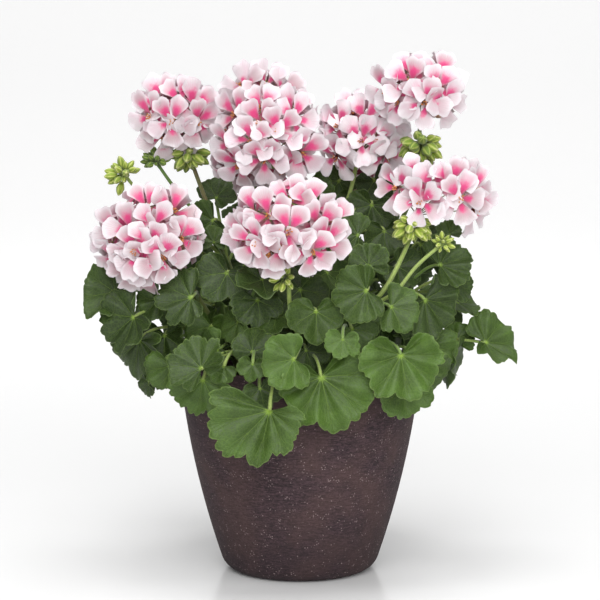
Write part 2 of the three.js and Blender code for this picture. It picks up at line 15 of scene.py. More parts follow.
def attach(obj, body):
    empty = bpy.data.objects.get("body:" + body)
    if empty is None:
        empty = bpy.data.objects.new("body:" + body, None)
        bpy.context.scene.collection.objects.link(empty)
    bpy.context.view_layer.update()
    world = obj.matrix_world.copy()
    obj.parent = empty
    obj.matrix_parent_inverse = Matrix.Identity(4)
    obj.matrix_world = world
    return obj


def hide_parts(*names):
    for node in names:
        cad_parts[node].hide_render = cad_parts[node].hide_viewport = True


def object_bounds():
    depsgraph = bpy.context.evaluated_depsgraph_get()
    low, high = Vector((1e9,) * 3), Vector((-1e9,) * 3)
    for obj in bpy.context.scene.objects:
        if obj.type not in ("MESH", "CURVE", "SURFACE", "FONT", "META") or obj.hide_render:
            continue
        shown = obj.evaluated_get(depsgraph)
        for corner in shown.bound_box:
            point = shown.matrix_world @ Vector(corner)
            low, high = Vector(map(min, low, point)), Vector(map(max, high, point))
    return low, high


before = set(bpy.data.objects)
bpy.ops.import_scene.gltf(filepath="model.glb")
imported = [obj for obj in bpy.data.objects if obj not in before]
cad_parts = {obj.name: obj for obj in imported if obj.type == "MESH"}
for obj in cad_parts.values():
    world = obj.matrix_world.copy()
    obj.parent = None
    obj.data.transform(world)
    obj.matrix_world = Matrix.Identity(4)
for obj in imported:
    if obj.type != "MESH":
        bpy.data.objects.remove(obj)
CAD_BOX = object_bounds()

bl_info = {
    "name": "Potted zonal geranium",
    "version": (1, 0, 0),
    "blender": (4, 5, 0),
    "location": "3D View > Sidebar > Geranium",
    "description": "Builds a bushy geranium in bloom in a plain dark pot",
    "category": "Add Mesh",
}

MM = 0.001
UP = Vector((0, 0, 1))
GOLDEN_ANGLE = math.pi * (3 - math.sqrt(5))

# A shape that comes this near to the sides or the top of the model's box is eased back, in millimetres.
EDGE_EASE = 7

# The pot and its soil, in millimetres. The wall's outer radius at a height z is start + flare z - bulge z z.
POT_HEIGHT = 222
POT_WALL_START = 78.5
POT_WALL_FLARE = 0.353
POT_WALL_BULGE = 0.000591
POT_WALL = 7
POT_FOOT_ROUND = 13
POT_FOOT_STEPS = 6
POT_WALL_STEPS = 14
POT_RIM_ROUND = 2
POT_FLOOR = 10
POT_INSIDE = (190, 150, 100, 50, 20)
POT_CREASE = math.radians(50)
DRAIN_COUNT = 5
DRAIN_CIRCLE = 42
DRAIN_RADIUS = 6
SOIL_TOP = 203
SOIL_LUMP = 4
SOIL_GAP = 0.6
SOIL_STEPS = 72
SOIL_SIDE = (150, 100, 50, 20)
CRUMB_COUNT = 420

# Stems, in millimetres. Petioles leave a stem from FIRST_PETIOLE stem radii over the soil up to LAST_PETIOLE
# of its curve.
STEM_DEPTH = 30
STEM_STEPS = 26
FIRST_PETIOLE = 3
LAST_PETIOLE = 0.97
# A petiole's two handles: how far it leaves the blade backwards and upwards, how far out from its stem the
# other one lies, and how high it arches, all as shares of its span. Under RIM_PASS over the rim it arches
# more.
PETIOLE_BEHIND = 0.2
PETIOLE_ABOVE = 0.1
PETIOLE_LEAVE = 0.3
PETIOLE_ARCH = 0.16
PETIOLE_STEPS = 12
RIM_PASS = 20

# A leaf whose size is over LARGE_LEAF has seven lobes, with as many lobes and notches on each side of the
# midrib, and any other five. BLADE_RINGS are the rings of the two, LOBE_STEPS the steps round a lobe, and
# LEAF_MAP how many lobes and notches the map of a leaf is wide.
LARGE_LEAF = 30
BLADE_RINGS = {7: 9, 5: 7}
LOBE_STEPS = 12
LEAF_MAP = 16

# Florets: the turns of the petals, the two marked ones first, and how many kinds of floret there are. A
# floret's throat lies THROAT_DEPTH behind its front, and its petals start PETAL_LEVEL below it.
PETAL_TURNS = (58, 122, 196, 270, 344)
PETAL_LEVEL = -7
THROAT_DEPTH = 9
SEPAL_COUNT = 5
STAMEN_COUNT = 6
FLORET_KINDS = 14
WITHERED_KINDS = 2
WITHERED_TONE = 2

# Flower heads: a ball's usual height and the size of the core that a stalk ends in, as shares of the radius,
# how deep in the core the stalk ends, how far down the florets usually go and how high those behind look, and
# the places that are tried for one.
USUAL_FLAT = 0.95
CORE_SHARE = 0.4
LOOSE_CORE_SHARE = 0.27
SOCKET_DEPTH = 7
USUAL_LOW = -0.62
REAR_RISE = 0.3
SPREAD_TRIES = 160

# The camera of the front view, in metres and millimetres of lens.
CAMERA_PLACE = (0, -2.4, 0.588)
CAMERA_AIM = (0, 0, 0.28545)
CAMERA_LENS = 138.228
CAMERA_SENSOR = 36

# Leafy stems: where each leaves the soil, its tip, its leaves and the part of the way round in which it has
# the back leaves. A leaf is (x, y, z, size, turn, tilt, spin): the joint of blade and petiole, the half
# width, the side its upper face looks to (0 front, 90 right), how far that face tips up, and how far the
# blade's end swings from straight down. Two more numbers set its half opening and its sideways lean.
STEMS = {
    "leafy_stem_front_left": {
        "foot": (-34, -44), "tip": (-60, -74, 285),
        "leaves": [
            (-98, -137, 234, 31, -8, 20, -135), (-76, -130, 235, 17, -10, 5, -30),
            (-47, -140, 239, 16, 0, 15, -10), (-97, -120, 220, 34, -18, 0, -12),
            (-131, -98, 231, 24, -30, 5, -20), (-74, -78, 323, 30, -5, 20, -25),
            (-43, -85, 296, 27, 0, 20, 10), (-91, -55, 265, 28, -20, 20, -10),
            (-48, -122, 248, 24, -5, 25, 175), (-38, -95, 318, 26, 0, 55, 10),
            (-40, -137, 214, 21, 0, 8, 15),
        ],
    },
    "leafy_stem_front": {
        "foot": (2, -52), "tip": (-4, -80, 270),
        "leaves": [
            (-30, -162, 196, 49, 0, 12, -12, 1.95, -0.28), (-6, -152, 246, 30, 0, 15, -80),
            (21, -140, 226, 50, 8, 8, 12), (16, -120, 289, 29, 5, 25, 0),
            (6, -108, 248, 22, 0, 15, 20), (0, -70, 305, 30, 0, 15, 15),
            (-36, -28, 273, 30, 0, 15, -20),
        ],
    },
    "leafy_stem_front_right": {
        "foot": (38, -42), "tip": (64, -74, 290),
        "leaves": [
            (42, -155, 266, 19, 5, 20, -10), (52, -118, 271, 22, 10, 20, 25),
            (66, -128, 311, 31, -3, 12, -75), (91, -115, 293, 27, 10, 20, 75),
            (100, -140, 248, 42, 5, 22, 8), (103, -112, 212, 30, 15, 5, 10),
            (69, -85, 331, 22, 0, 20, 170), (133, -60, 246, 28, 25, 10, 15),
            (130, -90, 229, 24, 40, 0, 25),
        ],
    },
    "leafy_stem_left": {
        "foot": (-62, -4), "tip": (-112, -36, 300),
        "leaves": [
            (-190, -50, 300, 36, -20, 30, -118), (-169, -75, 277, 36, -30, 20, -50),
            (-164, -62, 252, 37, -40, 8, -14), (-154, -75, 210, 15, -60, 0, 5),
            (-110, -96, 300, 32, -10, 25, -75), (-145, -70, 294, 20, -20, 15, -40),
            (-139, -50, 255, 28, -20, 10, 0),
        ],
    },
    "leafy_stem_right": {
        "foot": (62, 0), "tip": (106, -28, 300),
        "leaves": [
            (127, -75, 295, 36, 35, 5, 40), (143, -60, 329, 31, 15, 30, 105),
            (161, -40, 309, 20, 40, 20, 50), (164, -15, 284, 24, 30, 55, 95),
            (192, -40, 246, 36, 20, 50, 90), (162, -30, 245, 20, 20, 10, 165),
            (160, -45, 237, 23, 70, -5, 30), (155, -25, 357, 14, 10, 20, 180),
            (125, -10, 345, 28, 10, 15, 60), (101, -40, 325, 24, 5, 15, 60),
        ],
    },
    "leafy_stem_centre": {
        "foot": (0, 0), "tip": (6, -4, 330),
        "leaves": [
            (88, 0, 358, 26, 5, 25, 0), (76, 30, 383, 28, 0, 20, -20),
            (60, -25, 356, 24, 0, 20, -100),
        ],
    },
    "leafy_stem_back_left": {
        "foot": (-40, 40), "tip": (-82, 44, 330),
        "leaves": [
            (-89, 45, 389, 22, -10, 30, 150), (-92, 25, 367, 26, -20, 20, -60),
            (-89, -30, 349, 17, -5, 20, 180),
        ],
        "around": (199, 262),
    },
    "leafy_stem_back": {
        "foot": (0, 62), "tip": (-8, 86, 330),
        "leaves": [(10, 66, 402, 26, 0, 20, 10)],
        "around": (157, 198),
    },
    "leafy_stem_back_right": {
        "foot": (40, 42), "tip": (84, 48, 330),
        "leaves": [
            (42, 84, 404, 25, -5, 20, -35), (80, 82, 405, 26, 10, 25, 25),
            (60, 78, 386, 24, 0, 15, 0),
        ],
        "around": (90, 156),
    },
}

# The rings of back leaves: height, reach from the middle, size, tilt, first turn, step and count. Heights and
# spins vary by up to the two amounts below.
BACK_SPREAD = 8
BACK_SPIN = 20
BACK_RINGS = [
    (226, 158, 36, 8, 105, 25, 7),
    (276, 160, 38, 22, 103, 26, 7),
    (326, 132, 36, 38, 100, 25, 7),
    (368, 92, 32, 52, 128, 42, 3),
]

# Flower heads. centre and radius are the ball that the florets lie on, and flat is its height as a share.
# hub is the stalk's top where it isn't the centre, route the stalk's way from its stem, and stalk its tone.
# front lists the florets that show in front, and withered the brown ones, as steps right and up from the
# centre. low is how far down the others go, from 1 at the top to -1. A loose head has behind instead, the
# turns of its other florets. pale fades the blotches, and a head's painted shade darkens its petals, or below
# 0 its painted light lightens them.
HEADS = {
    "bloom_centre_top": {
        "centre": (-33, -15, 456), "radius": 56, "stem": "leafy_stem_centre",
        "route": [(-18, -10, 380)],
        "front": [
            (-18, 0), (-8, 19), (11, 10), (29, 23), (36, -15), (-4, -22), (-33, -31), (-7, 38), (31, 33),
            (-45, -9), (-42, 31), (16, -40), (35, -33),
        ],
    },
    "bloom_back_top": {
        "centre": (-41, 100, 482), "radius": 43, "stem": "leafy_stem_back",
        "route": [(-24, 96, 400)], "pale": 0.7,
        "front": [(-20, 25), (5, 29), (24, 20), (-30, -4)],
    },
    "bloom_left_top": {
        "centre": (-131, 35, 474), "radius": 42, "flat": 0.8, "low": -0.2, "stalk": -0.3,
        "stem": "leafy_stem_back_left",
        "route": [(-92, 38, 365), (-106, 36, 404)],
        "front": [(-2, -2), (-27, 4), (7, 26), (25, -5), (-18, 29), (22, 18), (-14, -27), (12, -28)],
    },
    "bloom_left": {
        "centre": (-153, -60, 355), "radius": 54, "painted_shade_and_light": 0.4, "stem": "leafy_stem_left",
        "route": [],
        "front": [
            (7, 19), (35, 5), (3, 0), (16, -14), (-14, -8), (-18, 15), (-6, -23), (-21, -33), (-36, 12),
            (-1, 44), (30, 38), (-48, -4), (-40, -24), (4, -45),
        ],
        "withered": [(42, -26), (23, -34)],
    },
    "bloom_front": {
        "centre": (-12, -110, 368), "radius": 56, "flat": 0.88, "stalk": 0.9, "painted_shade_and_light": 0.5,
        "stem": "leafy_stem_front",
        "route": [(-10, -104, 290)],
        "front": [
            (1, 6), (25, -18), (39, -9), (-33, -10), (-46, -2), (-20, 24), (3, 42), (26, 37), (35, 12),
            (49, 16), (-42, 29), (-22, -24), (-8, -14),
        ],
    },
    "bloom_right_top": {
        "centre": (66, 60, 448), "radius": 46, "low": -0.35, "stalk": 1.0, "painted_shade_and_light": -1.2,
        "stem": "leafy_stem_centre",
        "route": [(30, 30, 355), (50, 50, 385)],
        "front": [(-30, -17), (13, 4), (27, -16), (-2, 4), (2, 28), (26, 27), (-30, 21), (-12, 37), (42, -3)],
        "withered": [(35, 13)],
    },
    "bloom_far_right_top": {
        "centre": (125, 0, 501), "radius": 43, "flat": 0.8, "low": -0.1, "stem": "leafy_stem_back_right",
        "route": [(112, 14, 380), (123, 2, 430)],
        "front": [(2, -10), (-38, 4), (-14, 16), (17, 9), (25, -12), (22, 25), (-28, -10), (-13, 34)],
        "withered": [(43, -16), (6, 33)],
    },
    "bloom_right": {
        "centre": (137, -30, 398), "hub": (122, -42, 386), "radius": 54, "flat": 0.88, "stalk": 1.1,
        "stem": "leafy_stem_front_right",
        "route": [(83, -82, 303), (112, -52, 354)],
        "front": [(-17, -4), (26, 0), (-41, 12), (16, 20), (-22, 23), (46, -18), (48, 8), (-2, 14)],
        "behind": (130, 190),
    },
    "bloom_behind_left": {
        "centre": (-60, 170, 415), "radius": 40, "stem": "leafy_stem_back",
        "route": [(-34, 120, 360)], "front": [],
    },
    "bloom_behind_right": {
        "centre": (78, 150, 405), "radius": 40, "stem": "leafy_stem_back_right",
        "route": [(84, 108, 350)], "front": [],
    },
}

# Buds: the stem they belong to and the stalk's way, or None for those under a head, then the knot they grow
# from and the way they point, and last how far they stand off that way from and to in degrees, their count,
# their length as a share of the usual one, and how ripe and pale they are.
BUD_CLUSTERS = [
    ("leafy_stem_back_left", [(-132, 28, 375), (-172, 14, 402)],
     (-184, 10, 417), (-0.6, -0.25, 0.75), 0, 115, 22, 1.05, 0.7),
    ("leafy_stem_back_left", [(-112, 34, 375), (-136, 29, 406)],
     (-152, 29, 429), (-0.3, -0.3, 0.9), 0, 100, 24, 0.8, 0),
    ("leafy_stem_front_right", [(95, -90, 304), (118, -86, 331)],
     (144, -80, 353), (0.5, -0.4, 0.75), 0, 110, 18, 0.65, 0.9),
    ("leafy_stem_back_left", None, (-117, 30, 440), (0, -0.2, -1), 15, 90, 26, 1.25, 0.5),
    ("leafy_stem_back_right", None, (125, -14, 452), (0, -0.3, -1), 15, 105, 30, 1.3, 0.5),
    ("leafy_stem_front_right", None, (114, -58, 372), (0, -0.2, -1), 15, 100, 28, 1.2, 0.75),
    ("leafy_stem_front", None, (-15, -111, 322), (-0.4, -1, 0.1), 20, 80, 10, 0.85, 0.8),
]


def linear(code):
    """A colour's linear red, green and blue from its six hex digits."""
    parts = [int(code[i:i + 2], 16) / 255 for i in (0, 2, 4)]
    return tuple(c / 12.92 if c <= 0.04045 else ((c + 0.055) / 1.055) ** 2.4 for c in parts)


# Colours beside those in the panel.
PAINT = {name: linear(code) for name, code in {
    "leaf_joint": "8fae38", "leaf_edge": "78904c", "leaf_underside": "7d9762", "shoot_low": "56752f",
    "shoot_high": "8c9f50", "stem_low": "4d4a2c", "stem_high": "6d7a3c", "stem_brown": "6f6140",
    "bud": "516f1e", "bud_ripe": "8da22e", "bud_stripe": "93a545", "bud_stripe_ripe": "d8dc7c",
    "bud_tip": "e4e2a8", "bud_base": "4f7424", "bud_cloud": "4b6b22", "petal_painted_light": "f6e9ee",
    "petal_shaded": "b29599", "petal_halo": "e88fae", "petal_throat_and_shade": "b04c66",
    "petal_mottling": "dba9bd", "petal_veins": "b4506f", "petal_deep_veins": "8c2b45",
    "petal_rim": "eae3e8", "petal_painted_shade": "8c3f4c", "withered_dark": "8a5a3c",
    "withered_pale": "d3b08f", "pedicel_low": "74503a", "pedicel_high": "93a34d", "stamen_low": "7a2c22",
    "stamen_high": "c27a42", "pot_cloud": "57413c", "soil_fibre": "5d4632",
}.items()}


class GeraniumPot(bpy.types.PropertyGroup):
    """Sizes and colours of the pot."""
    height: FloatProperty(
        name="Height", description="Height of the pot", default=POT_HEIGHT * MM, unit="LENGTH")
    foot_radius: FloatProperty(
        name="Foot radius", description="Radius of the flat foot", default=0.0655, unit="LENGTH")
    sides: IntProperty(name="Sides", description="Steps round the pot", default=96)
    body_colour: FloatVectorProperty(
        name="Body", description="Colour of the pot's body", default=linear("382a2e"), subtype="COLOR")
    fleck_colour: FloatVectorProperty(
        name="Flecks", description="Colour of the pale flecks", default=linear("927f7f"), subtype="COLOR")
    soil_colour: FloatVectorProperty(
        name="Soil", description="Colour of the damp soil", default=linear("33271f"), subtype="COLOR")


class GeraniumFoliage(bpy.types.PropertyGroup):
    """Sizes and colours of stems and leaves."""
    stem_radius: FloatProperty(
        name="Stem radius", description="Radius of a main stem", default=0.0046, unit="LENGTH")
    stalk_radius: FloatProperty(
        name="Stalk radius", description="Radius of a flower stalk", default=0.0024, unit="LENGTH")
    petiole_radius: FloatProperty(
        name="Petiole radius", description="Radius of a petiole at its leaf", default=0.0015, unit="LENGTH")
    blade_thickness: FloatProperty(
        name="Blade thickness", description="Thickness of a leaf blade", default=0.0009, unit="LENGTH")
    inner_leaves: IntProperty(
        name="Inner leaves", description="Small leaves inside the bush, for each stem", default=7)
    bud_length: FloatProperty(
        name="Bud length", description="Length of a full bud", default=0.019, unit="LENGTH")
    old_colour: FloatVectorProperty(
        name="Old leaf", description="Colour of an old leaf", default=linear("263711"), subtype="COLOR")
    leaf_colour: FloatVectorProperty(
        name="Leaf", description="Colour of a grown leaf", default=linear("324714"), subtype="COLOR")
    young_colour: FloatVectorProperty(
        name="Young leaf", description="Colour of a young leaf", default=linear("476322"), subtype="COLOR")
    vein_colour: FloatVectorProperty(
        name="Veins", description="Colour of the veins", default=linear("86a54a"), subtype="COLOR")


class GeraniumBloom(bpy.types.PropertyGroup):
    """Sizes and colours of the flower heads."""
    floret_radius: FloatProperty(
        name="Floret radius", description="Reach of a petal from its floret's middle", default=0.0282,
        unit="LENGTH")
    spacing: FloatProperty(
        name="Spacing", description="Least angle between two florets of a head", default=math.radians(36),
        subtype="ANGLE")
    petal_colour: FloatVectorProperty(
        name="Petal", description="Colour of the petals", default=linear("ddd1d6"), subtype="COLOR")
    blotch_colour: FloatVectorProperty(
        name="Blotch", description="Colour of the petals' blotches", default=linear("dd3b7c"),
        subtype="COLOR")


class GeraniumStage(bpy.types.PropertyGroup):
    """Light and floor."""
    key_power: FloatProperty(
        name="Key light", description="Power of the key light", default=37, unit="POWER")
    fill_power: FloatProperty(
        name="Fill light", description="Power of the fill light", default=42, unit="POWER")
    top_power: FloatProperty(
        name="Top light", description="Power of the top light", default=40, unit="POWER")
    sky: FloatProperty(name="Sky", description="Brightness of the even light all round", default=0.43)
    glow: FloatProperty(name="Backdrop glow", description="Light given off by the backdrop", default=0.37)
    floor_colour: FloatVectorProperty(
        name="Floor", description="Colour of floor and backdrop", default=(0.75, 0.75, 0.75), subtype="COLOR")


# Materials.

class Wire:
    """A value on its way through a material. Python maths on it adds the nodes."""

    def __init__(self, finish, socket):
        self.finish = finish
        self.socket = socket

    def maths(self, operation, *values):
        inputs = dict(enumerate(values))
        return self.finish.node("ShaderNodeMath", {"operation": operation}, inputs)

    def __add__(self, other):
        return self.maths("ADD", self, other)

    def __sub__(self, other):
        return self.maths("SUBTRACT", self, other)

    def __rsub__(self, other):
        return self.maths("SUBTRACT", other, self)

    def __mul__(self, other):
        return self.maths("MULTIPLY", self, other)

    def __truediv__(self, other):
        return self.maths("DIVIDE", self, other)

    def __pow__(self, other):
        return self.maths("POWER", self, other)

    def __mod__(self, other):
        return self.maths("FLOORED_MODULO", self, other)

    def __abs__(self):
        return self.maths("ABSOLUTE", self)

    __radd__ = __add__
    __rmul__ = __mul__


class Finish:
    """A material put together node by node."""

    def __init__(self, name, roughness=0.6, **uniform):
        self.material = bpy.data.materials.new(name)
        self.material.use_nodes = True
        self.tree = self.material.node_tree
        self.shader = self.tree.nodes["Principled BSDF"]
        self.set("Roughness", roughness)
        for socket, value in uniform.items():
            self.set(socket.replace("_", " ").title().replace("Ior", "IOR"), value)

    def put(self, socket, value):
        if isinstance(value, Wire):
            self.tree.links.new(value.socket, socket)
        elif socket.type == "RGBA" and len(value) == 3:
            socket.default_value = (*value, 1)
        else:
            socket.default_value = value

    def set(self, name, value):
        self.put(self.shader.inputs[name], value)

    def node(self, kind, settings=None, inputs=None, output=0):
        """Adds a node: its settings first, then the values or links of its sockets."""
        made = self.tree.nodes.new(kind)
        for key, value in (settings or {}).items():
            setattr(made, key, value)
        for key, value in (inputs or {}).items():
            self.put(made.inputs[key], value)
        return Wire(self, made.outputs[output])

    def mix(self, factor, first, second):
        """One colour into another."""
        return self.node("ShaderNodeMix", {"data_type": "RGBA"}, {0: factor, 6: first, 7: second}, 2)

    def band(self, value, start, end):
        """0 up to start and 1 from end, softly."""
        return self.node(
            "ShaderNodeMapRange", {"interpolation_type": "SMOOTHSTEP"},
            {"Value": value, "From Min": start, "From Max": end})

    def place(self, scale=(1, 1, 1)):
        """The place on the object, stretched."""
        spot = self.node("ShaderNodeTexCoord", output="Object")
        return self.node("ShaderNodeMapping", {}, {"Vector": spot, "Scale": scale})

    def grain(self, scale, detail=3, stretch=(1, 1, 1), rough=0.5):
        """Cloudy noise, scale in steps per metre."""
        return self.node(
            "ShaderNodeTexNoise", {},
            {"Vector": self.place(stretch), "Scale": scale, "Detail": detail, "Roughness": rough})

    def cells(self, scale, feature="F1"):
        """Distances in a net of cells, scale in cells per metre."""
        return self.node(
            "ShaderNodeTexVoronoi", {"feature": feature}, {"Vector": self.place(), "Scale": scale})

    def along_axis(self, axis):
        """One coordinate on the object, in metres."""
        return self.node("ShaderNodeSeparateXYZ", {}, {0: self.place()}, axis)

    def mark(self, name):
        """A number that is stored on the mesh."""
        return self.node("ShaderNodeAttribute", {"attribute_name": name}, output="Fac")

    def across_and_along(self):
        """The two coordinates of the piece's own map."""
        spot = self.node("ShaderNodeUVMap", {"uv_map": "UVMap"})
        made = self.tree.nodes.new("ShaderNodeSeparateXYZ")
        self.put(made.inputs[0], spot)
        return Wire(self, made.outputs[0]), Wire(self, made.outputs[1])

    def relief(self, height, distance, strength):
        """Relief of a height between 0 and 1, over a distance in metres."""
        bump = self.node("ShaderNodeBump", {}, {"Height": height, "Distance": distance, "Strength": strength})
        self.set("Normal", bump)


def scaled(colour, share):
    """A darker or lighter shade of a colour."""
    return [c * share for c in colour]


def leaf_finish(foliage, name, under):
    """The face of a leaf: palmate veins that fork, a fine net, a faint dark zone and a pale edge."""
    f = Finish(name, specular_ior_level=0.4)
    across, share = f.across_and_along()
    # Veins: a main one along the middle of each lobe, and three orders that fork off it further out.
    step = ((across - 0.5) * (LEAF_MAP / 2) + 0.5) % 1 - 0.5
    side = abs(step) * 0.8
    fork = f.band(share, 0.4, 0.52)
    main = f.band(side * share / (0.014 - 0.008 * share), 1, 0.2)
    first = f.band(abs(side - (share - 0.42) * 0.36) * share / (0.013 - 0.007 * share), 1, 0.25) * fork
    second = f.band(abs(side - (share - 0.22) * 0.5) * share / 0.007, 1, 0.2) * f.band(share, 0.66, 0.76)
    third = f.band(abs(side - (share - 0.68) * 0.34) * share / 0.006, 1, 0.2) * f.band(share, 0.7, 0.78)
    veins = main.maths("MAXIMUM", main, first * 0.75)
    veins = veins.maths("MAXIMUM", veins, (second + third) * 0.5)
    net = f.band(f.cells(300, "DISTANCE_TO_EDGE"), 0.12, 0.02)
    cloud = f.grain(35, 3)
    fine = f.grain(420, 3)
    # The leaf's tone goes from old to young in clouds, and carries painted light and shade from where the
    # leaf stands.
    tone = f.mark("tone") + (cloud - 0.5) * 0.7 + (fine - 0.5) * 0.16 + share * 0.2 - 0.1
    base = f.mix(f.band(tone, 0, 0.55), foliage.old_colour, foliage.leaf_colour)
    base = f.mix(f.band(tone, 0.5, 1.05), base, foliage.young_colour)
    zone = f.band(abs(share - 0.56 + (cloud - 0.5) * 0.12), 0.13, 0.04)
    base = f.mix(zone * 0.13, base, scaled(foliage.old_colour, 0.5))
    base = f.mix(net * 0.1, base, foliage.vein_colour)
    strength = veins * (0.5 - 0.3 * share)
    base = f.mix(strength, base, foliage.vein_colour)
    middle = f.band(share, 0.12, 0.01)
    base = f.mix(middle * 0.5, base, PAINT["leaf_joint"])
    edge = f.band(share, 0.965, 0.995)
    base = f.mix(edge * 0.5, base, PAINT["leaf_edge"])
    if under:
        base = f.mix(0.4, base, PAINT["leaf_underside"])
    f.set("Base Color", base)
    f.set("Roughness", 0.4 + 0.22 * fine + 0.06 * net)
    height = (veins * 0.8 if under else 1 - veins) * 0.55 + (1 - net) * 0.12 + fine * 0.2
    f.relief(height, 0.0013, 0.9)
    return f.material


def shoot_finish(name, low, high, roughness=0.5):
    """A green stem whose colour goes with its tone from low to high, with fine lengthwise lines."""
    f = Finish(name, sheen_weight=0.25, sheen_roughness=0.4)
    lines = f.grain(900, 2, (1, 1, 0.12))
    cloud = f.grain(60, 2)
    shade = f.mark("tone") + (cloud - 0.5) * 0.5
    base = f.mix(f.band(shade, 0.1, 0.9), low, high)
    base = f.mix(f.band(shade, 0.0, -0.4), base, PAINT["stem_brown"])
    base = f.mix(f.band(lines, 0.62, 0.3) * 0.35, base, scaled(low, 0.45))
    f.set("Base Color", base)
    f.set("Roughness", roughness + 0.2 * lines)
    f.relief(lines, 0.0004, 0.6)
    return f.material


def bud_finish():
    """A bud in its green sepals, striped, with a pale tip where the petals begin to show."""
    f = Finish("bud", sheen_weight=0.2)
    around, along = f.across_and_along()
    ripe = f.band(f.mark("tone"), 0, 1)
    stripe = f.band(abs((around * 5) % 1 - 0.5), 0.05, 0.3)
    base = f.mix(ripe, PAINT["bud"], PAINT["bud_ripe"])
    base = f.mix((1 - stripe) * 0.75, base, f.mix(ripe, PAINT["bud_stripe"], PAINT["bud_stripe_ripe"]))
    base = f.mix(f.band(along, 0.72, 0.98) * f.band(ripe, 0.2, 0.7) * 0.8, base, PAINT["bud_tip"])
    base = f.mix(f.band(along, 0.3, 0.0) * 0.5, base, PAINT["bud_base"])
    f.set("Base Color", f.mix(f.grain(500, 2) * 0.25, base, PAINT["bud_cloud"]))
    f.set("Roughness", 0.5 + 0.15 * stripe)
    f.relief(stripe, 0.0005, 0.7)
    return f.material


def petal_finish(bloom, name, under):
    """A petal: white at its end, rosy at its claw, with a hot pink blotch, fanned veins, a pale rim, painted
    light and shade.
    """
    f = Finish(
        name, sheen_weight=0.1, sheen_roughness=0.6, subsurface_weight=0.2, subsurface_scale=0.003,
        subsurface_radius=(1.0, 0.6, 0.7), specular_ior_level=0.25)
    across, along = f.across_and_along()
    x = (across - 0.5) * 2
    kind = f.mark("blotch")
    tone = f.mark("tone")
    wobble = f.grain(230, 2) - 0.5
    fan = x / (0.22 + 0.78 * along)
    veins = f.band(abs((fan * 4.5 + wobble * 0.5) % 1 - 0.5), 0.16, 0.0)
    # The blotch is an oval round the claw's end, larger and further out on the marked petals.
    level = along - 0.24 - 0.14 * kind
    far = ((x / (0.42 + 0.46 * kind)) ** 2 + (level / (0.13 + 0.1 * kind)) ** 2) ** 0.5
    far = far + wobble * 0.9 - veins * 0.3
    blotch = f.band(far, 1.35, 0.35)
    halo = f.band(far, 2.2, 0.7)
    throat = f.band(along + wobble * 0.2, 0.52, 0.1)
    inside = f.mark("inside")
    rim = f.band(x * x + (along * 2 - 1) ** 2, 0.3, 1.0) * f.band(along, 0.3, 0.6)
    # Painted light: a tone below 0 lightens the petals towards near white.
    base = f.mix(f.band(tone, -1, 0), PAINT["petal_painted_light"], bloom.petal_colour)
    # A tone above 0, partly random and partly a head's painted shade, darkens the petals, most at the claw.
    shade = 0.4 + 0.6 * f.band(along, 0.95, 0.5)
    base = f.mix(f.band(tone, 0, 1) * shade, base, PAINT["petal_shaded"])
    base = f.mix(halo * kind * 0.4, base, PAINT["petal_halo"])
    # The throat's rose is partly the claw's own colour and partly painted shade in the floret's hollow.
    base = f.mix(throat * 0.85, base, PAINT["petal_throat_and_shade"])
    base = f.mix(f.band(f.grain(60, 3), 0.45, 0.7) * 0.3, base, PAINT["petal_mottling"])
    base = f.mix(veins * f.band(along, 1.0, 0.3) * 0.5, base, PAINT["petal_veins"])
    base = f.mix(blotch * (0.2 if under else 0.95) * f.band(kind, 0.05, 0.3), base, bloom.blotch_colour)
    base = f.mix(veins * f.band(along, 0.5, 0.22) * 0.8, base, PAINT["petal_deep_veins"])
    base = f.mix(rim * 0.7, base, PAINT["petal_rim"])
    # Painted shade: petals deep inside the head darken towards a dull crimson.
    base = f.mix(inside * 0.85, base, PAINT["petal_painted_shade"])
    withered = f.mix(f.band(wobble, -0.15, 0.2), PAINT["withered_dark"], PAINT["withered_pale"])
    base = f.mix(f.band(tone, 1.5, WITHERED_TONE), base, withered)
    f.set("Base Color", base)
    f.set("Roughness", 0.55 + 0.15 * wobble)
    f.relief(1 - veins * 0.6 + wobble * 0.5, 0.0006, 0.6)
    return f.material


def stamen_finish():
    """Stamens, dark below and orange on top, in fine clouds."""
    f = Finish("stamen")
    cloud = f.grain(900, 3)
    high = f.band(cloud + (f.mark("tone") - 0.5) * 0.6, 0.3, 0.7)
    f.set("Base Color", f.mix(high, PAINT["stamen_low"], PAINT["stamen_high"]))
    f.set("Roughness", 0.5 + 0.15 * cloud)
    f.relief(cloud, 0.0003, 0.5)
    return f.material


def pot_finish(pot):
    """A matte dark body with a fine grain, dark pits, scattered pale flecks and painted shade towards the
    foot.
    """
    f = Finish("pot_body", specular_ior_level=0.3)
    # Streaks lie round the pot, and the fine grain has pale and dark spots.
    streaks = f.grain(230, 4, (0.5, 0.5, 3.0), 0.7)
    fine = f.grain(430, 3, (0.9, 0.9, 1.5), 0.7)
    height = f.along_axis(2)
    cloud = f.grain(22, 2)
    speck = f.cells(420)
    chance = f.grain(150, 1)
    flecks = f.band(speck, 0.34, 0.14) * f.band(chance, 0.53, 0.63)
    body = pot.body_colour
    base = f.mix(f.band(streaks, 0.4, 0.6), scaled(body, 0.6), scaled(body, 1.4))
    base = f.mix(f.band(fine, 0.54, 0.68) * 0.55, base, scaled(body, 2.3))
    base = f.mix(f.band(fine, 0.47, 0.36) * 0.7, base, scaled(body, 0.3))
    base = f.mix(f.band(cloud, 0.35, 0.7) * 0.35, base, PAINT["pot_cloud"])
    # Painted shade: the lowest 100 mm darken towards the foot.
    base = f.mix(f.band(height, 0.1, 0.0) * 0.45, base, scaled(body, 0.5))
    base = f.mix(flecks * 0.75, base, pot.fleck_colour)
    f.set("Base Color", base)
    f.set("Roughness", 0.72 + 0.18 * streaks)
    f.relief(streaks * 0.5 + fine * 0.7 + flecks * 0.3, 0.0009, 0.8)
    return f.material


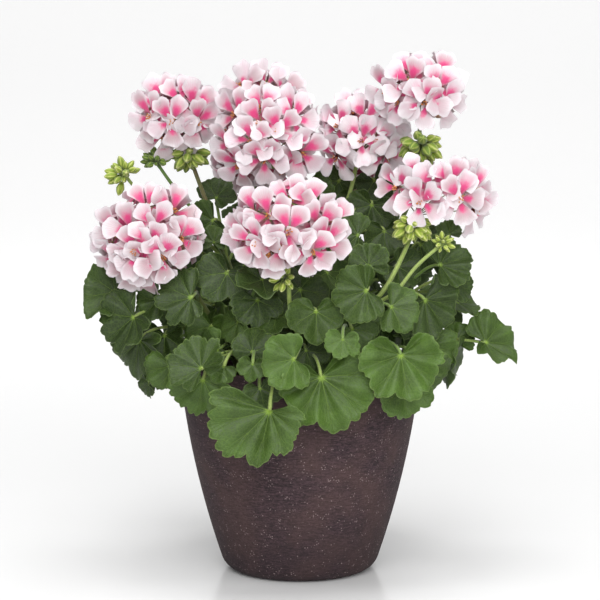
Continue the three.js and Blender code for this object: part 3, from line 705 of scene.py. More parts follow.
def soil_finish(pot):
    """Dark damp soil with paler fibres."""
    f = Finish("soil_crumb", specular_ior_level=0.2)
    crumb = f.cells(240)
    fine = f.grain(700, 4, rough=0.7)
    base = f.mix(f.band(fine, 0.35, 0.7), scaled(pot.soil_colour, 0.45), pot.soil_colour)
    base = f.mix(f.band(f.grain(120, 2, (1, 4, 1)), 0.62, 0.72) * 0.5, base, PAINT["soil_fibre"])
    f.set("Base Color", base)
    f.set("Roughness", 0.85 + 0.1 * fine)
    f.relief(fine * 0.6 + (1 - crumb) * 0.4, 0.0016, 0.9)
    return f.material


# Shapes. All of them are in millimetres until a piece is finished.

def new_shape():
    """An empty shape with the map and the numbers that the materials read."""
    bm = bmesh.new()
    bm.loops.layers.uv.new("UVMap")
    bm.verts.layers.float.new("tone")
    bm.verts.layers.float.new("blotch")
    bm.verts.layers.float.new("inside")
    return bm


def finish_piece(bm, name, finishes, slot, *nodes):
    """Makes the shape a piece in metres that stands for its nodes, eased back near the sides of their box."""
    for axis in range(3):
        low, high = CAD_BOX[0][axis] / MM, CAD_BOX[1][axis] / MM
        for vert in bm.verts:
            beyond = max(vert.co[axis] - high + EDGE_EASE, low + EDGE_EASE - vert.co[axis] if axis < 2 else 0)
            if beyond > 0:
                back = beyond - EDGE_EASE * (1 - math.exp(-beyond / EDGE_EASE))
                vert.co[axis] -= math.copysign(back, vert.co[axis])
    bmesh.ops.scale(bm, vec=(MM, MM, MM), verts=bm.verts)
    mesh = bpy.data.meshes.new(name)
    bm.to_mesh(mesh)
    bm.free()
    for finish in finishes:
        mesh.materials.append(finish)
    piece = bpy.data.objects.new(name, mesh)
    bpy.context.collection.objects.link(piece)
    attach(piece, "root")
    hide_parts(*nodes)


def keep_shape(bm, name):
    """Keeps a shape as a mesh that can be put into others again and again."""
    mesh = bpy.data.meshes.new(name)
    bm.to_mesh(mesh)
    bm.free()
    return mesh


def put_in(bm, mesh, move, tone=None):
    """Puts a kept shape into another one, of which nothing was deleted yet, and moves each of its points."""
    start = len(bm.verts)
    bm.from_mesh(mesh)
    bm.verts.ensure_lookup_table()
    fresh = bm.verts[start:]
    for vert in fresh:
        vert.co = move(vert.co)
    if tone is not None:
        mark = bm.verts.layers.float["tone"]
        for vert in fresh:
            vert[mark] = tone
    return fresh


def smooth_path(points, count):
    """Even steps along a smooth curve through the points."""
    points = [Vector(p) for p in points]
    if len(points) == 2:
        return [points[0].lerp(points[1], i / count) for i in range(count + 1)]
    return [on_path(points, i / count) for i in range(count + 1)]


def on_path(points, share):
    """The point at a share of the way along a smooth curve through the points."""
    last = len(points) - 1
    place = min(share * last, last - 1e-6)
    i = int(place)
    w = place - i
    b, c = points[i], points[i + 1]
    a = points[i - 1] if i else 2 * b - c
    d = points[i + 2] if i + 2 <= last else 2 * c - b
    ab, bc, cd = ((q - p).length ** 0.5 for p, q in ((a, b), (b, c), (c, d)))
    leave = ((b - a) / ab - (c - a) / (ab + bc) + (c - b) / bc) * bc
    arrive = ((c - b) / bc - (d - b) / (bc + cd) + (d - c) / cd) * bc
    return (
        b * (2 * w ** 3 - 3 * w ** 2 + 1) + leave * (w ** 3 - 2 * w ** 2 + w)
        + c * (3 * w ** 2 - 2 * w ** 3) + arrive * (w ** 3 - w ** 2)
    )


def add_rod(bm, path, radius_at, sides, finish, tone_at):
    """A round rod along a path. Radius and tone are given at shares of the way."""
    rod = new_shape()
    mark = rod.verts.layers.float["tone"]
    last = len(path) - 1
    ring = bmesh.ops.create_circle(rod, cap_ends=True, segments=sides, radius=1)["verts"]
    edges = rod.edges[:]
    centre, radius, heading = Vector((0, 0, 0)), 1.0, UP
    for i, point in enumerate(path):
        ahead = path[min(i + 1, last)] - path[max(i - 1, 0)]
        turn = heading.rotation_difference(ahead)
        if i:
            grown = bmesh.ops.extrude_edge_only(rod, edges=edges)["geom"]
            ring = [g for g in grown if isinstance(g, bmesh.types.BMVert)]
            edges = [g for g in grown if isinstance(g, bmesh.types.BMEdge) and g.is_boundary]
        wide = radius_at(i / last)
        for vert in ring:
            vert.co = point + turn @ (vert.co - centre) * (wide / radius)
            vert[mark] = tone_at(i / last)
        centre, radius, heading = point, wide, ahead
    bmesh.ops.contextual_create(rod, geom=edges)
    bmesh.ops.recalc_face_normals(rod, faces=rod.faces)
    for face in rod.faces:
        face.material_index = finish
        face.smooth = True
    mesh = keep_shape(rod, "rod")
    bm.from_mesh(mesh)
    bpy.data.meshes.remove(mesh)


# Leaves. finish numbers of a leafy stem: 0 upper face, 1 underside, 2 shoots, 3 old stem, 4 buds.

def blade_strip(half):
    """A flat closed strip that bends into a blade: lobes and notches along x, the way out in y, side in z."""
    bm = new_shape()
    bmesh.ops.create_grid(
        bm, x_segments=LOBE_STEPS * half, y_segments=BLADE_RINGS[half], size=1, calc_uvs=True)
    layer = bm.loops.layers.uv.active
    for vert in bm.verts:
        vert.co = Vector((vert.co.x * half, ((vert.co.y + 1) / 2) ** 0.85, 0))
    made = bmesh.ops.extrude_face_region(bm, geom=bm.faces[:], use_keep_orig=True)["geom"]
    for item in made:
        if isinstance(item, bmesh.types.BMVert):
            item.co.z = 1
        elif isinstance(item, bmesh.types.BMFace):
            item.material_index = 1
    bmesh.ops.recalc_face_normals(bm, faces=bm.faces[:])
    for face in bm.faces:
        face.smooth = True
        for loop in face.loops:
            loop[layer].uv = (0.5 + loop.vert.co.x / LEAF_MAP, loop.vert.co.y)
    return keep_shape(bm, "blade_strip")


def add_blade(bm, strip, half, row, thickness, draw):
    """A blade on its joint: lobed, toothed, pleated along its veins, cupped and bent.

    half counts the lobes and notches on each side of the midrib. Returns the blade's pose and the points of
    its joint, which are still to be merged.
    """
    x, y, z, size, turn, tilt, spin = row[:7]
    opening, lean = row[7:] or (draw.uniform(2.2, 2.75), draw.uniform(-0.1, 0.1))
    pose = (
        Matrix.Translation((x, y, z)) @ Matrix.Rotation(math.radians(turn), 4, "Z")
        @ Matrix.Rotation(-math.radians(tilt), 4, "X") @ Matrix.Rotation(-math.radians(spin), 4, "Y")
    )
    phase, waves, wave = draw.uniform(0, 6.28), draw.choice((2, 3, 3, 4)), draw.uniform(0.05, 0.12)
    uneven, bend = draw.uniform(0, 6.28), draw.uniform(0.05, 0.2)
    cup, crease = draw.uniform(0.0, 0.2), draw.uniform(-0.05, 0.3)
    lobing, toothing, pleat = draw.uniform(0.07, 0.14), draw.uniform(0.035, 0.06), draw.uniform(0.05, 0.11)
    # The tone is partly random. Painted light lifts the leaves at the front, and painted shade darkens those
    # above 285 mm, among the heads.
    tone = 0.4 + 0.8 * noise.noise(Vector((x, y, z)) / 17) + (0.12 if y < -100 else 0)
    tone -= 0.15 if z > 285 else 0
    seed = Vector((draw.uniform(0, 50), 0, 0))

    def move(co):
        k, share, side = co
        angle = k * opening / half
        own = noise.noise(Vector((k * 0.9, uneven, 0)))
        lobe = abs(math.cos(k * math.pi / 2))
        tooth = abs(math.cos(k * math.pi * 1.5))
        notch = lobing * (1 + 1.2 * own) * (1 - lobe) ** 1.2 * share
        edge = 1 - notch - toothing * (1 - tooth) ** 1.3 * share ** 3
        edge *= 1 + 0.05 * math.sin(2.3 * k + uneven) * share + lean * math.sin(angle)
        edge *= 1 - 0.2 * max(0, abs(k) / half * 8 - 7) ** 2
        edge *= 1 + 0.045 * share ** 4 * noise.noise(Vector((k * 4.1, uneven, 7)))
        reach = share * size * (1.14 - 1.02 * (abs(angle) / math.pi) ** 2.7) * edge
        end = share * max(0, math.cos(angle))
        lift = cup * share ** 2 - bend * end ** 2 - pleat * (1 + own) * share * math.cos(math.pi * k)
        ruffle = wave * share ** 2.2 * math.sin(waves * angle + phase)
        lift += ruffle + crease * share * abs(math.sin(angle)) ** 1.5
        flat = Vector((reach * math.sin(angle), reach * math.cos(angle), 0))
        lift += 0.1 * share * noise.noise(flat / 15 + seed)
        depth = (side - 0.5) * thickness * (1 - 0.45 * share) - lift * size
        return pose @ Vector((flat.x, depth, -flat.y))

    fresh = put_in(bm, strip, move, tone)
    joint = pose.translation
    return pose, [vert for vert in fresh if (vert.co - joint).length < thickness]


def add_petiole(bm, pose, root, radius, tone):
    """The petiole of a leaf, arching from its joint back to the stem and over the rim of the pot."""
    joint = pose.translation
    back = pose.to_3x3() @ Vector((0, 1, 0))
    opening = pose.to_3x3() @ UP
    span = (root - joint).length
    rise = UP * (PETIOLE_ARCH * span + max(0, POT_HEIGHT + RIM_PASS - joint.z) / 2)
    arrive = joint + rise + back * PETIOLE_BEHIND * span + opening * PETIOLE_ABOVE * span
    leave = root.lerp(joint, PETIOLE_LEAVE) + rise
    path = []
    for i in range(PETIOLE_STEPS + 1):
        t = i / PETIOLE_STEPS
        u = 1 - t
        path.append(joint * u ** 3 + arrive * 3 * u * u * t + leave * 3 * u * t * t + root * t ** 3)
    path[0] = joint + back * 0.1

    def radius_at(share):
        return radius * (1 + 0.45 * max(0, 1 - 8 * share) + 0.3 * share + 0.35 * max(0, 12 * share - 11))

    add_rod(bm, path, radius_at, 7, 2, lambda share: tone - 0.25 * share)


def add_bud(bm, ball, base, way, length, tone):
    """A slim bud on its short pedicel."""
    pedicel = smooth_path([base, base + way * length * 0.4], 2)
    add_rod(bm, pedicel, lambda s: 0.8 - 0.1 * s, 5, 2, lambda s: 0.6)
    aim = way.to_track_quat("Z", "Y").to_matrix()
    start = base + way * length * 0.28

    def move(co):
        share = (co.z + 1) / 2
        wide = length * (0.14 + 0.15 * share if share < 0.6 else 0.404 - 0.29 * share)
        return start + aim @ Vector((co.x * wide, co.y * wide, share * length * 0.8))

    put_in(bm, ball, move, tone)


def inner_rows(tip, count, draw):
    """Smaller leaves that fill the bush round a stem, behind its outer ones."""
    reach = tip.xy.length
    leaning = reach > 20
    outwards = math.atan2(tip.x, -tip.y) if leaning else 0
    rows = []
    for i in range(count):
        turn = outwards + draw.uniform(-0.5, 0.5) * (1 if leaning else 2.5)
        far = max(30, reach) + draw.uniform(-12, 14)
        z = 238 + (tip.z - 235) * (i + 0.5) / count + draw.uniform(-6, 6)
        rows.append((
            far * math.sin(turn), -far * math.cos(turn), z, draw.uniform(20, 29), math.degrees(turn),
            draw.uniform(5, 45), draw.uniform(-70, 70),
        ))
    return rows


def back_rows(start, end):
    """The leaves of the back rings whose turns lie between start and end."""
    rows = []
    for ring, (height, reach, size, tilt, first, step, count) in enumerate(BACK_RINGS):
        for i in range(count):
            turn = first + i * step
            x, y = reach * math.sin(math.radians(turn)), -reach * math.cos(math.radians(turn))
            if start <= turn <= end:
                z = height + BACK_SPREAD * math.sin(2 * i + ring)
                rows.append((x, y, z, size, turn, tilt, BACK_SPIN * ((i + ring) % 3 - 1)))
    return rows


class GERANIUM_OT_pot(bpy.types.Operator):
    """Turn the pot, with its rounded foot, thin rim and drain holes"""
    bl_idname = "geranium.pot"
    bl_label = "Pot"

    def execute(self, context):
        pot = context.scene.geranium_pot
        height, foot = pot.height / MM, pot.foot_radius / MM
        slack = wall_radius(POT_FOOT_ROUND) - foot - POT_FOOT_ROUND
        outside = []
        for i in range(POT_FOOT_STEPS + 1):
            angle = math.radians(90 / POT_FOOT_STEPS * i)
            drop = POT_FOOT_ROUND * (1 - math.cos(angle))
            outside.append((foot + POT_FOOT_ROUND * math.sin(angle) + slack * drop / POT_FOOT_ROUND, drop))
        rise = height - POT_RIM_ROUND - POT_FOOT_ROUND
        levels = [POT_FOOT_ROUND + rise * i / POT_WALL_STEPS for i in range(1, POT_WALL_STEPS + 1)]
        outside += [(wall_radius(z), z) for z in levels]
        outside += [(wall_radius(height) - 0.6, height - 0.6), (wall_radius(height) - 2, height)]
        lip = wall_radius(height) - POT_WALL
        inside = [(lip + 1.4, height), (lip + 0.3, height - 1)]
        inside += [(wall_radius(z) - POT_WALL, z) for z in (height - 4, *POT_INSIDE, POT_FLOOR)]
        bm = new_shape()
        profile = outside + inside
        verts = [bm.verts.new((r, 0, z)) for r, z in profile]
        edges = [bm.edges.new(pair) for pair in zip(verts, verts[1:])]
        bmesh.ops.spin(bm, geom=edges, cent=(0, 0, 0), axis=(0, 0, 1), dvec=(0, 0, 0),
                       angle=math.tau, steps=pot.sides, use_merge=True, use_duplicate=False)
        bmesh.ops.remove_doubles(bm, verts=bm.verts, dist=1e-3)
        rings = {}
        for level in (0, POT_FLOOR):
            rim = [e for e in bm.edges if e.is_boundary and abs(e.verts[0].co.z - level) < 0.01]
            rings[level] = []
            for i in range(DRAIN_COUNT):
                angle = math.tau * i / DRAIN_COUNT
                spot = (DRAIN_CIRCLE * math.cos(angle), DRAIN_CIRCLE * math.sin(angle), level)
                hole = bmesh.ops.create_circle(
                    bm, segments=20, radius=DRAIN_RADIUS, matrix=Matrix.Translation(spot))["verts"]
                rings[level].append({e for v in hole for e in v.link_edges})
            holes = [e for ring in rings[level] for e in ring]
            bmesh.ops.triangle_fill(bm, use_beauty=True, edges=rim + holes)
        for low, high in zip(rings[0], rings[POT_FLOOR]):
            bmesh.ops.bridge_loops(bm, edges=list(low | high))
        bmesh.ops.recalc_face_normals(bm, faces=bm.faces)
        for face in bm.faces:
            face.smooth = True
        for edge in bm.edges:
            if len(edge.link_faces) == 2 and edge.calc_face_angle() > POT_CREASE:
                edge.smooth = False
        finish_piece(bm, "dressed_pot", [pot_finish(pot)], "pot", "pot")
        return {"FINISHED"}


def wall_radius(z):
    """The outer radius of the pot's wall at a height."""
    return POT_WALL_START + POT_WALL_FLARE * z - POT_WALL_BULGE * z * z


class GERANIUM_OT_soil(bpy.types.Operator):
    """Fill the pot with crumbly soil"""
    bl_idname = "geranium.soil"
    bl_label = "Soil"

    def execute(self, context):
        pot = context.scene.geranium_pot
        reach = wall_radius(SOIL_TOP) - POT_WALL - SOIL_GAP
        bm = new_shape()
        bmesh.ops.create_grid(bm, x_segments=SOIL_STEPS, y_segments=SOIL_STEPS, size=1)
        for vert in bm.verts:
            u, v = vert.co.x, vert.co.y
            x, y = u * math.sqrt(1 - v * v / 2), v * math.sqrt(1 - u * u / 2)
            far = math.hypot(x, y)
            spot = Vector((x * reach, y * reach, 0))
            z = SOIL_TOP + SOIL_LUMP * (0.5 + 0.5 * math.cos(math.pi * (2 * min(far, 1) - 1))) * 0.9
            inner = 1 - far ** 8
            z += 1.6 * noise.noise(spot / 9) * inner + 1.3 * noise.noise(spot / 3.5) * inner - 1.2
            vert.co = Vector((spot.x, spot.y, min(z, SOIL_TOP + SOIL_LUMP)))
        for z in (*SOIL_SIDE, POT_FLOOR + 0.3):
            edges = [e for e in bm.edges if e.is_boundary]
            wall = wall_radius(z) - POT_WALL - SOIL_GAP
            grown = bmesh.ops.extrude_edge_only(bm, edges=edges)["geom"]
            for vert in grown:
                if isinstance(vert, bmesh.types.BMVert):
                    side = Vector((vert.co.x, vert.co.y)).normalized() * wall
                    vert.co = Vector((side.x, side.y, z))
        bmesh.ops.contextual_create(bm, geom=[e for e in bm.edges if e.is_boundary])
        bmesh.ops.recalc_face_normals(bm, faces=bm.faces)
        draw = random.Random(5)
        crumb = new_shape()
        bmesh.ops.create_icosphere(crumb, subdivisions=1, radius=1)
        crumb = keep_shape(crumb, "crumb")
        for _ in range(CRUMB_COUNT):
            angle, far = draw.uniform(0, math.tau), reach * 0.96 * math.sqrt(draw.random())
            size = draw.uniform(0.8, 2.6)
            spot = Vector((far * math.cos(angle), far * math.sin(angle), SOIL_TOP + draw.uniform(-1.5, 1.2)))
            seed = Vector((draw.uniform(0, 90), 0, 0))
            put_in(bm, crumb, lambda co: spot + co * size * (1 + 0.5 * noise.noise(co * 1.7 + seed)))
        for face in bm.faces:
            face.smooth = True
        finish_piece(bm, "dressed_soil", [soil_finish(pot)], "soil", "soil")
        return {"FINISHED"}


class GERANIUM_OT_stems(bpy.types.Operator):
    """Grow the leafy stems with their petioles, leaves, flower stalks and buds"""
    bl_idname = "geranium.stems"
    bl_label = "Leafy stems"

    def execute(self, context):
        foliage = context.scene.geranium_foliage
        stem_radius, stalk_radius = foliage.stem_radius / MM, foliage.stalk_radius / MM
        thickness, petiole = foliage.blade_thickness / MM, foliage.petiole_radius / MM
        finishes = [
            leaf_finish(foliage, "leaf_face", False),
            leaf_finish(foliage, "leaf_underside", True),
            shoot_finish("green_shoot", PAINT["shoot_low"], PAINT["shoot_high"]),
            shoot_finish("old_stem", PAINT["stem_low"], PAINT["stem_high"], 0.65),
            bud_finish(),
        ]
        strips = {half: blade_strip(half) for half in BLADE_RINGS}
        ball = new_shape()
        bmesh.ops.create_uvsphere(ball, u_segments=8, v_segments=6, radius=1, calc_uvs=True)
        for face in ball.faces:
            face.material_index = 4
            face.smooth = True
        ball = keep_shape(ball, "bud_ball")
        for number, (name, stem) in enumerate(STEMS.items()):
            draw = random.Random(100 + number)
            bm = new_shape()
            foot, tip = stem["foot"], Vector(stem["tip"])
            curve = [Vector((*foot, SOIL_TOP - STEM_DEPTH)), Vector((*foot, SOIL_TOP + stem_radius)), tip]
            path = [on_path(curve, i / STEM_STEPS) for i in range(STEM_STEPS + 1)]

            def knuckled(share):
                swell = max(0, math.cos(share * 26)) ** 6
                return stem_radius * (1.04 - 0.12 * share + 0.1 * swell)

            add_rod(bm, path, knuckled, 12, 3, lambda share: 0.2 + 0.7 * share)
            rows = list(stem["leaves"]) + (back_rows(*stem["around"]) if "around" in stem else [])
            rows += inner_rows(tip, foliage.inner_leaves, draw)
            rows.sort(key=lambda row: row[2])
            low = 0.5 + FIRST_PETIOLE * stem_radius / (2 * (tip.z - SOIL_TOP))
            step = (LAST_PETIOLE - low) / (len(rows) - 1)
            joints = []
            for i, row in enumerate(rows):
                half = 7 if row[3] > LARGE_LEAF else 5
                pose, middle = add_blade(bm, strips[half], half, row, thickness, draw)
                joints += middle
                add_petiole(bm, pose, on_path(curve, low + step * i), petiole, draw.uniform(0.4, 0.95))
            for head in HEADS.values():
                if head["stem"] == name:
                    tone = head.get("stalk", 0.4)
                    add_stalk(bm, tip, head["route"], stalk_end(head), stalk_radius, stem_radius, tone)
            for owner, route, knot, aim, near, far, count, length, ripe in BUD_CLUSTERS:
                if owner != name:
                    continue
                if route:
                    add_stalk(bm, tip, route, Vector(knot), stalk_radius * 0.8, stem_radius, ripe)
                full = foliage.bud_length / MM * length
                add_buds(bm, ball, Vector(knot), Vector(aim), near, far, count, full, ripe, draw)
            bmesh.ops.remove_doubles(bm, verts=joints, dist=0.02)
            finish_piece(bm, "dressed_" + name, finishes, "foliage", name)
        return {"FINISHED"}


def stalk_end(head):
    """Where the stalk of a head ends, inside the ball of florets."""
    hub = Vector(head.get("hub", head["centre"]))
    before = Vector(head["route"][-1]) if head["route"] else Vector(STEMS[head["stem"]]["tip"])
    core = (LOOSE_CORE_SHARE if "hub" in head else CORE_SHARE) * head["radius"]
    return hub + (hub - before).normalized() * (SOCKET_DEPTH - core)


def add_stalk(bm, tip, route, end, radius, stem_radius, tone):
    """A flower stalk from the top of its stem, a little swollen where the pedicels begin."""
    path = smooth_path([tip - UP * stem_radius, *route, end], 18)
    add_rod(bm, path, lambda s: radius * (1.05 - 0.15 * s + 0.5 * max(0, 12 * s - 11)), 10, 2, lambda s: tone)


def add_buds(bm, ball, knot, aim, near, far, count, length, ripe, draw):
    """A cluster of buds round its knot, which stand off its aim from near to far in degrees."""
    towards = UP.rotation_difference(aim)
    near, far = math.cos(math.radians(near)), math.cos(math.radians(far))
    for i in range(count):
        off = math.acos(near + (far - near) * (i + 0.5) / count)
        angle = i * GOLDEN_ANGLE
        wide = math.sin(off)
        way = towards @ Vector((wide * math.sin(angle), wide * math.cos(angle), math.cos(off)))
        way += Vector((draw.uniform(-0.2, 0.2), draw.uniform(-0.2, 0.2), draw.uniform(-0.2, 0.1)))
        way.normalize()
        size, tone = length * draw.uniform(0.7, 1.05), ripe + draw.uniform(-0.2, 0.2)
        add_bud(bm, ball, knot + way * 1.5, way, size, tone)


# Florets. finish numbers of a bloom: 0 petal faces, 1 sepals and pedicels, 2 stamens, 3 petal backs.

def petal_shape():
    """A flat lens of two faces joined at a sharp edge, x and y in the unit disc."""
    bm = new_shape()
    layer = bm.loops.layers.uv.active
    bmesh.ops.create_grid(bm, x_segments=6, y_segments=6, size=1)
    for vert in bm.verts:
        u, v = vert.co.x, vert.co.y
        vert.co = Vector((u * math.sqrt(1 - v * v / 2), v * math.sqrt(1 - u * u / 2), 0))
    made = bmesh.ops.duplicate(bm, geom=bm.faces[:] + bm.edges[:] + bm.verts[:])["geom"]
    lower = [g for g in made if isinstance(g, bmesh.types.BMFace)]
    bmesh.ops.reverse_faces(bm, faces=lower)
    for vert in made:
        if isinstance(vert, bmesh.types.BMVert):
            vert.co.z = -max(0, 1 - vert.co.x ** 2 - vert.co.y ** 2) ** 0.5
    bmesh.ops.remove_doubles(bm, verts=bm.verts, dist=1e-3)
    bmesh.ops.recalc_face_normals(bm, faces=bm.faces)
    for face in bm.faces:
        face.smooth = True
        face.material_index = 3 if face.normal.z < 0 else 0
        for loop in face.loops:
            loop[layer].uv = (loop.vert.co.x / 2 + 0.5, loop.vert.co.y / 2 + 0.5)
    for edge in bm.edges:
        edge.smooth = min(v.co.xy.length for v in edge.verts) < 0.999
    return keep_shape(bm, "petal_shape")


def floret_shape(petal, reach, draw, wilt=0.0):
    """One floret that looks to +Z with its two marked petals upwards: petals, sepals and stamens."""
    bm = new_shape()
    blotch = bm.verts.layers.float["blotch"]
    tone = bm.verts.layers.float["tone"]
    opening = draw.uniform(0.75, 1.25)
    for number, angle in enumerate(PETAL_TURNS):
        upper = number < 2
        angle = math.radians(angle + draw.uniform(-7, 7))
        length = reach * draw.uniform(0.94, 1.06) * (1 - 0.35 * wilt)
        width = reach * draw.uniform(0.38, 0.46) * (0.95 if upper else 1.0) * (1 - 0.45 * wilt)
        rise, curl = draw.uniform(8, 13) if upper else draw.uniform(3, 8), draw.uniform(-1.5, 4.5)
        twist, phase, wave = draw.uniform(-0.3, 0.3), draw.uniform(0, 6.28), draw.uniform(0.5, 1.7)
        frill, turns, shift = draw.uniform(0.8, 2.2), draw.choice((4, 5, 6)), draw.uniform(0, 6.28)
        level = 0.5 * (number % 2)
        fold = draw.uniform(-2, 5) + 5 * wilt

        def move(co):
            share = (co.y + 1) / 2
            around = math.atan2(co.y, co.x)
            out = co.xy.length ** 4
            spread = 0.14 + 0.97 * min(1, share / 0.76) ** 1.5
            side = co.x * width * spread
            far = 1 + share * (length - 1) * (1 + 0.05 * out * share * math.sin(turns * around + shift))
            far -= 0.9 * math.exp(-(co.x / 0.22) ** 2) * share ** 6
            height = PETAL_LEVEL + rise * opening * share ** 0.85 + level - curl * share ** 3
            ruffle = wave * math.sin(2.6 * co.x + phase) * share ** 2
            height += fold * co.x ** 2 * share + twist * side + ruffle
            height += frill * out * share * math.sin(turns * around + phase)
            height += 2.2 * share * noise.noise(Vector((side / 7, far / 9, phase * 9)))
            height += co.z * 0.35 - wilt * 9 * share
            return Matrix.Rotation(angle - math.pi / 2, 3, "Z") @ Vector((side, far, height))

        shade = WITHERED_TONE if wilt else draw.random()
        for vert in put_in(bm, petal, move):
            vert[blotch] = (draw.uniform(0.85, 1) if upper else draw.uniform(0.3, 0.6)) * (1 - wilt)
            vert[tone] = shade
    for i in range(SEPAL_COUNT):
        angle = math.tau * i / SEPAL_COUNT + 0.3
        way = Vector((math.cos(angle), math.sin(angle), 0))
        add_rod(bm, [way * 0.8 + UP * -9, way * 3.5 + UP * -7.6, way * 7.5 + UP * -5.4],
                lambda s: 1.15 * (1 - s) + 0.12, 3, 1, lambda s: 0.3 + 0.5 * s)
    for i in range(STAMEN_COUNT):
        angle = math.tau * i / STAMEN_COUNT + draw.uniform(-0.4, 0.4)
        way = Vector((math.cos(angle), math.sin(angle), 0))
        lean = draw.uniform(0.8, 2.4)
        path = [way * 0.4 + UP * -7.5, way * lean + UP * -2.5, way * lean * 1.6 + UP * draw.uniform(-1, 2.5)]
        add_rod(bm, path, lambda s: 0.5 if s < 0.9 else 1.0, 3, 2, lambda s: s)
    return keep_shape(bm, "floret")


def way_out(head, right, up):
    """The way from a head's centre to the place that shows in front at these steps right and up."""
    squeeze = min(1, 0.95 * head["radius"] / math.hypot(right, up))
    right, up = right * squeeze, up * squeeze
    return Vector((right, -math.sqrt(head["radius"] ** 2 - right ** 2 - up ** 2), up)).normalized()


def floret_ways(head, spacing):
    """The ways from a head's centre to its florets: those seen in front first, and an even spread between."""
    ways = [way_out(head, right, up) for right, up in head["front"]]
    if "behind" in head:
        for turn in map(math.radians, head["behind"]):
            ways.append(Vector((math.sin(turn), -math.cos(turn), REAR_RISE)).normalized())
        return ways
    for i in range(SPREAD_TRIES):
        height = 1 - (1 - head.get("low", USUAL_LOW)) * (i + 0.5) / SPREAD_TRIES
        level = math.sqrt(1 - height * height)
        way = Vector((level * math.sin(i * GOLDEN_ANGLE), -level * math.cos(i * GOLDEN_ANGLE), height))
        if all(way.angle(other) > spacing for other in ways):
            ways.append(way)
    return ways


def upright_aim(look, draw):
    """Turns a floret to look that way, with its marked petals up."""
    upright = UP - look * look.dot(UP)
    if upright.length < 0.3:
        upright = Vector((0, 1, 0)) - look * look.y
    upright.normalize()
    aim = Matrix((upright.cross(look), upright, look)).transposed()
    return aim @ Matrix.Rotation(draw.uniform(-0.35, 0.35), 3, "Z")


class GERANIUM_OT_blooms(bpy.types.Operator):
    """Fill the flower heads with florets on thin pedicels"""
    bl_idname = "geranium.blooms"
    bl_label = "Flower heads"

    def execute(self, context):
        bloom = context.scene.geranium_bloom
        reach = bloom.floret_radius / MM
        finishes = [
            petal_finish(bloom, "petal_face", False),
            shoot_finish("sepal_and_pedicel", PAINT["pedicel_low"], PAINT["pedicel_high"]),
            stamen_finish(),
            petal_finish(bloom, "petal_back", True),
        ]
        draw = random.Random(7)
        petal = petal_shape()
        florets = [floret_shape(petal, reach, draw) for _ in range(FLORET_KINDS)]
        withered = [floret_shape(petal, reach, draw, 0.75) for _ in range(WITHERED_KINDS)]
        for number, (node, head) in enumerate(HEADS.items()):
            draw = random.Random(300 + number)
            bm = new_shape()
            marks, tones, inner = (bm.verts.layers.float[name] for name in ("blotch", "tone", "inside"))
            centre, flat = Vector(head["centre"]), head.get("flat", USUAL_FLAT)
            hub = stalk_end(head)
            places = [(way, draw.choice(florets)) for way in floret_ways(head, bloom.spacing)]
            places += [(way_out(head, *steps), draw.choice(withered)) for steps in head.get("withered", [])]
            for i, (way, floret) in enumerate(places):
                seen = i < len(head["front"])
                if seen:
                    sunk = min(7, max(0, i - 3))
                else:
                    sunk = draw.uniform(10, 16) if way.y < -0.1 else draw.uniform(3, 9)
                middle = centre + Vector((way.x, way.y, way.z * flat)) * (head["radius"] - sunk)
                lean = Vector((draw.uniform(-1, 1), draw.uniform(-1, 1), draw.uniform(-1, 1)))
                lean *= 0.13 if seen else 0.26
                look = (way + lean + Vector((0, -0.5, -0.1)) * seen).normalized()
                aim = upright_aim(look, draw)
                size = draw.uniform(0.96, 1.06) if seen else draw.uniform(0.84, 0.98)
                fresh = put_in(bm, floret, lambda co: middle + aim @ co * size)
                for vert in fresh:
                    vert[marks] *= 1 - head.get("pale", 0)
                    # A head's painted shade raises its petals' tone, and its painted light lowers it below 0.
                    vert[tones] += head.get("painted_shade_and_light", 0) if vert[tones] < 1 else 0
                    # Painted shade: the deeper a point lies inside the head, from 3 mm under its surface, the
                    # darker its petals.
                    out = vert.co - centre
                    depth = head["radius"] - 3 - math.hypot(out.x, out.y, out.z / flat)
                    vert[inner] = min(1, max(0, depth / 12))
                throat = middle - look * THROAT_DEPTH
                bend = hub.lerp(throat, 0.55) + way * 2
                path = smooth_path([hub, bend, throat], 5)
                add_rod(bm, path, lambda s: 0.62 + 0.45 * max(0, 5 * s - 4), 5, 1, lambda s: 0.35)
            finish_piece(bm, "dressed_" + node, finishes, "petals", node)
        return {"FINISHED"}


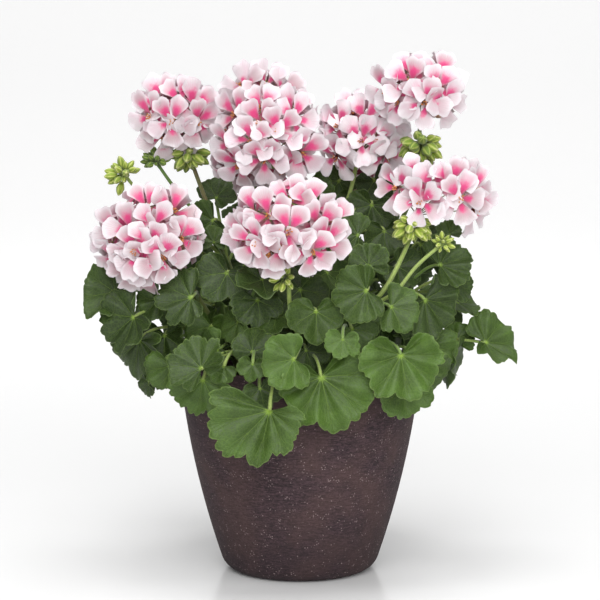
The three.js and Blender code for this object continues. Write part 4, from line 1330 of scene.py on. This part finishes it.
class GERANIUM_OT_stage(bpy.types.Operator):
    """Lay the pale floor with its backdrop, and set the soft lights and the camera"""
    bl_idname = "geranium.stage"
    bl_label = "Stage"

    def execute(self, context):
        stage = context.scene.geranium_stage
        scene = context.scene
        bm = bmesh.new()
        bmesh.ops.create_grid(bm, x_segments=1, y_segments=1, size=4)
        rear = [e for e in bm.edges if all(v.co.y > 0 for v in e.verts)]
        grown = bmesh.ops.extrude_edge_only(bm, edges=rear)["geom"]
        bmesh.ops.translate(bm, vec=(0, 0, 4), verts=[g for g in grown if isinstance(g, bmesh.types.BMVert)])
        bmesh.ops.bevel(bm, geom=rear, offset=1.5, segments=12, profile=0.5, affect="EDGES", material=-1)
        for face in bm.faces:
            face.smooth = True
        mesh = bpy.data.meshes.new("floor")
        bm.to_mesh(mesh)
        bm.free()
        floor = bpy.data.objects.new("floor", mesh)
        finish = Finish("studio_floor", roughness=0.2, specular_ior_level=0.22)
        finish.set("Base Color", stage.floor_colour)
        rearwards = finish.band(finish.along_axis(1), -0.4, 2.6)
        finish.set("Emission Color", finish.mix(rearwards, (0, 0, 0), (1, 1, 1)))
        finish.set("Emission Strength", stage.glow)
        mesh.materials.append(finish.material)
        bpy.context.collection.objects.link(floor)

        world = bpy.data.worlds.new("studio")
        world.use_nodes = True
        world.node_tree.nodes["Background"].inputs["Color"].default_value = (1, 1, 1, 1)
        world.node_tree.nodes["Background"].inputs["Strength"].default_value = stage.sky
        scene.world = world
        scene.view_settings.view_transform = "Standard"

        target = Vector((0, 0, 0.3))
        lights = (
            ("key", (-0.3, -2.4, 2.0), 1.6, stage.key_power),
            ("fill", (0.7, -2.5, 1.0), 2.0, stage.fill_power),
            ("top", (0, -0.45, 2.6), 1.3, stage.top_power),
        )
        for name, spot, size, power in lights:
            light = bpy.data.lights.new(name, "AREA")
            light.size = size
            light.energy = power
            lamp = bpy.data.objects.new(name, light)
            lamp.location = spot
            lamp.rotation_euler = (target - Vector(spot)).to_track_quat("-Z", "Y").to_euler()
            bpy.context.collection.objects.link(lamp)

        camera = bpy.data.objects.new("camera", bpy.data.cameras.new("camera"))
        camera.data.sensor_width = CAMERA_SENSOR
        camera.data.lens = CAMERA_LENS
        camera.location = CAMERA_PLACE
        aim = Vector(CAMERA_AIM) - camera.location
        camera.rotation_euler = aim.to_track_quat("-Z", "Y").to_euler()
        bpy.context.collection.objects.link(camera)
        scene.camera = camera
        return {"FINISHED"}


class GERANIUM_PT_panel(bpy.types.Panel):
    """Lists the steps and the values of the geranium"""
    bl_idname = "GERANIUM_PT_panel"
    bl_label = "Potted geranium"
    bl_space_type = "VIEW_3D"
    bl_region_type = "UI"
    bl_category = "Geranium"

    def draw(self, context):
        for step in STEPS:
            self.layout.operator(step.bl_idname)
        for group in GROUPS:
            box = self.layout.box()
            values = getattr(context.scene, group)
            for key in type(values).__annotations__:
                box.prop(values, key)


STEPS = (GERANIUM_OT_stage, GERANIUM_OT_pot, GERANIUM_OT_soil, GERANIUM_OT_stems, GERANIUM_OT_blooms)
GROUPS = {
    "geranium_pot": GeraniumPot,
    "geranium_foliage": GeraniumFoliage,
    "geranium_bloom": GeraniumBloom,
    "geranium_stage": GeraniumStage,
}


def register():
    for kind in (*GROUPS.values(), *STEPS, GERANIUM_PT_panel):
        bpy.utils.register_class(kind)
    for name, kind in GROUPS.items():
        setattr(bpy.types.Scene, name, PointerProperty(type=kind))


def unregister():
    for name in GROUPS:
        delattr(bpy.types.Scene, name)
    for kind in (GERANIUM_PT_panel, *reversed(STEPS), *reversed(GROUPS.values())):
        bpy.utils.unregister_class(kind)


def main():
    register()
    bpy.ops.geranium.stage()
    bpy.ops.geranium.pot()
    bpy.ops.geranium.soil()
    bpy.ops.geranium.stems()
    bpy.ops.geranium.blooms()
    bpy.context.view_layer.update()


if __name__ == "__main__":
    main()
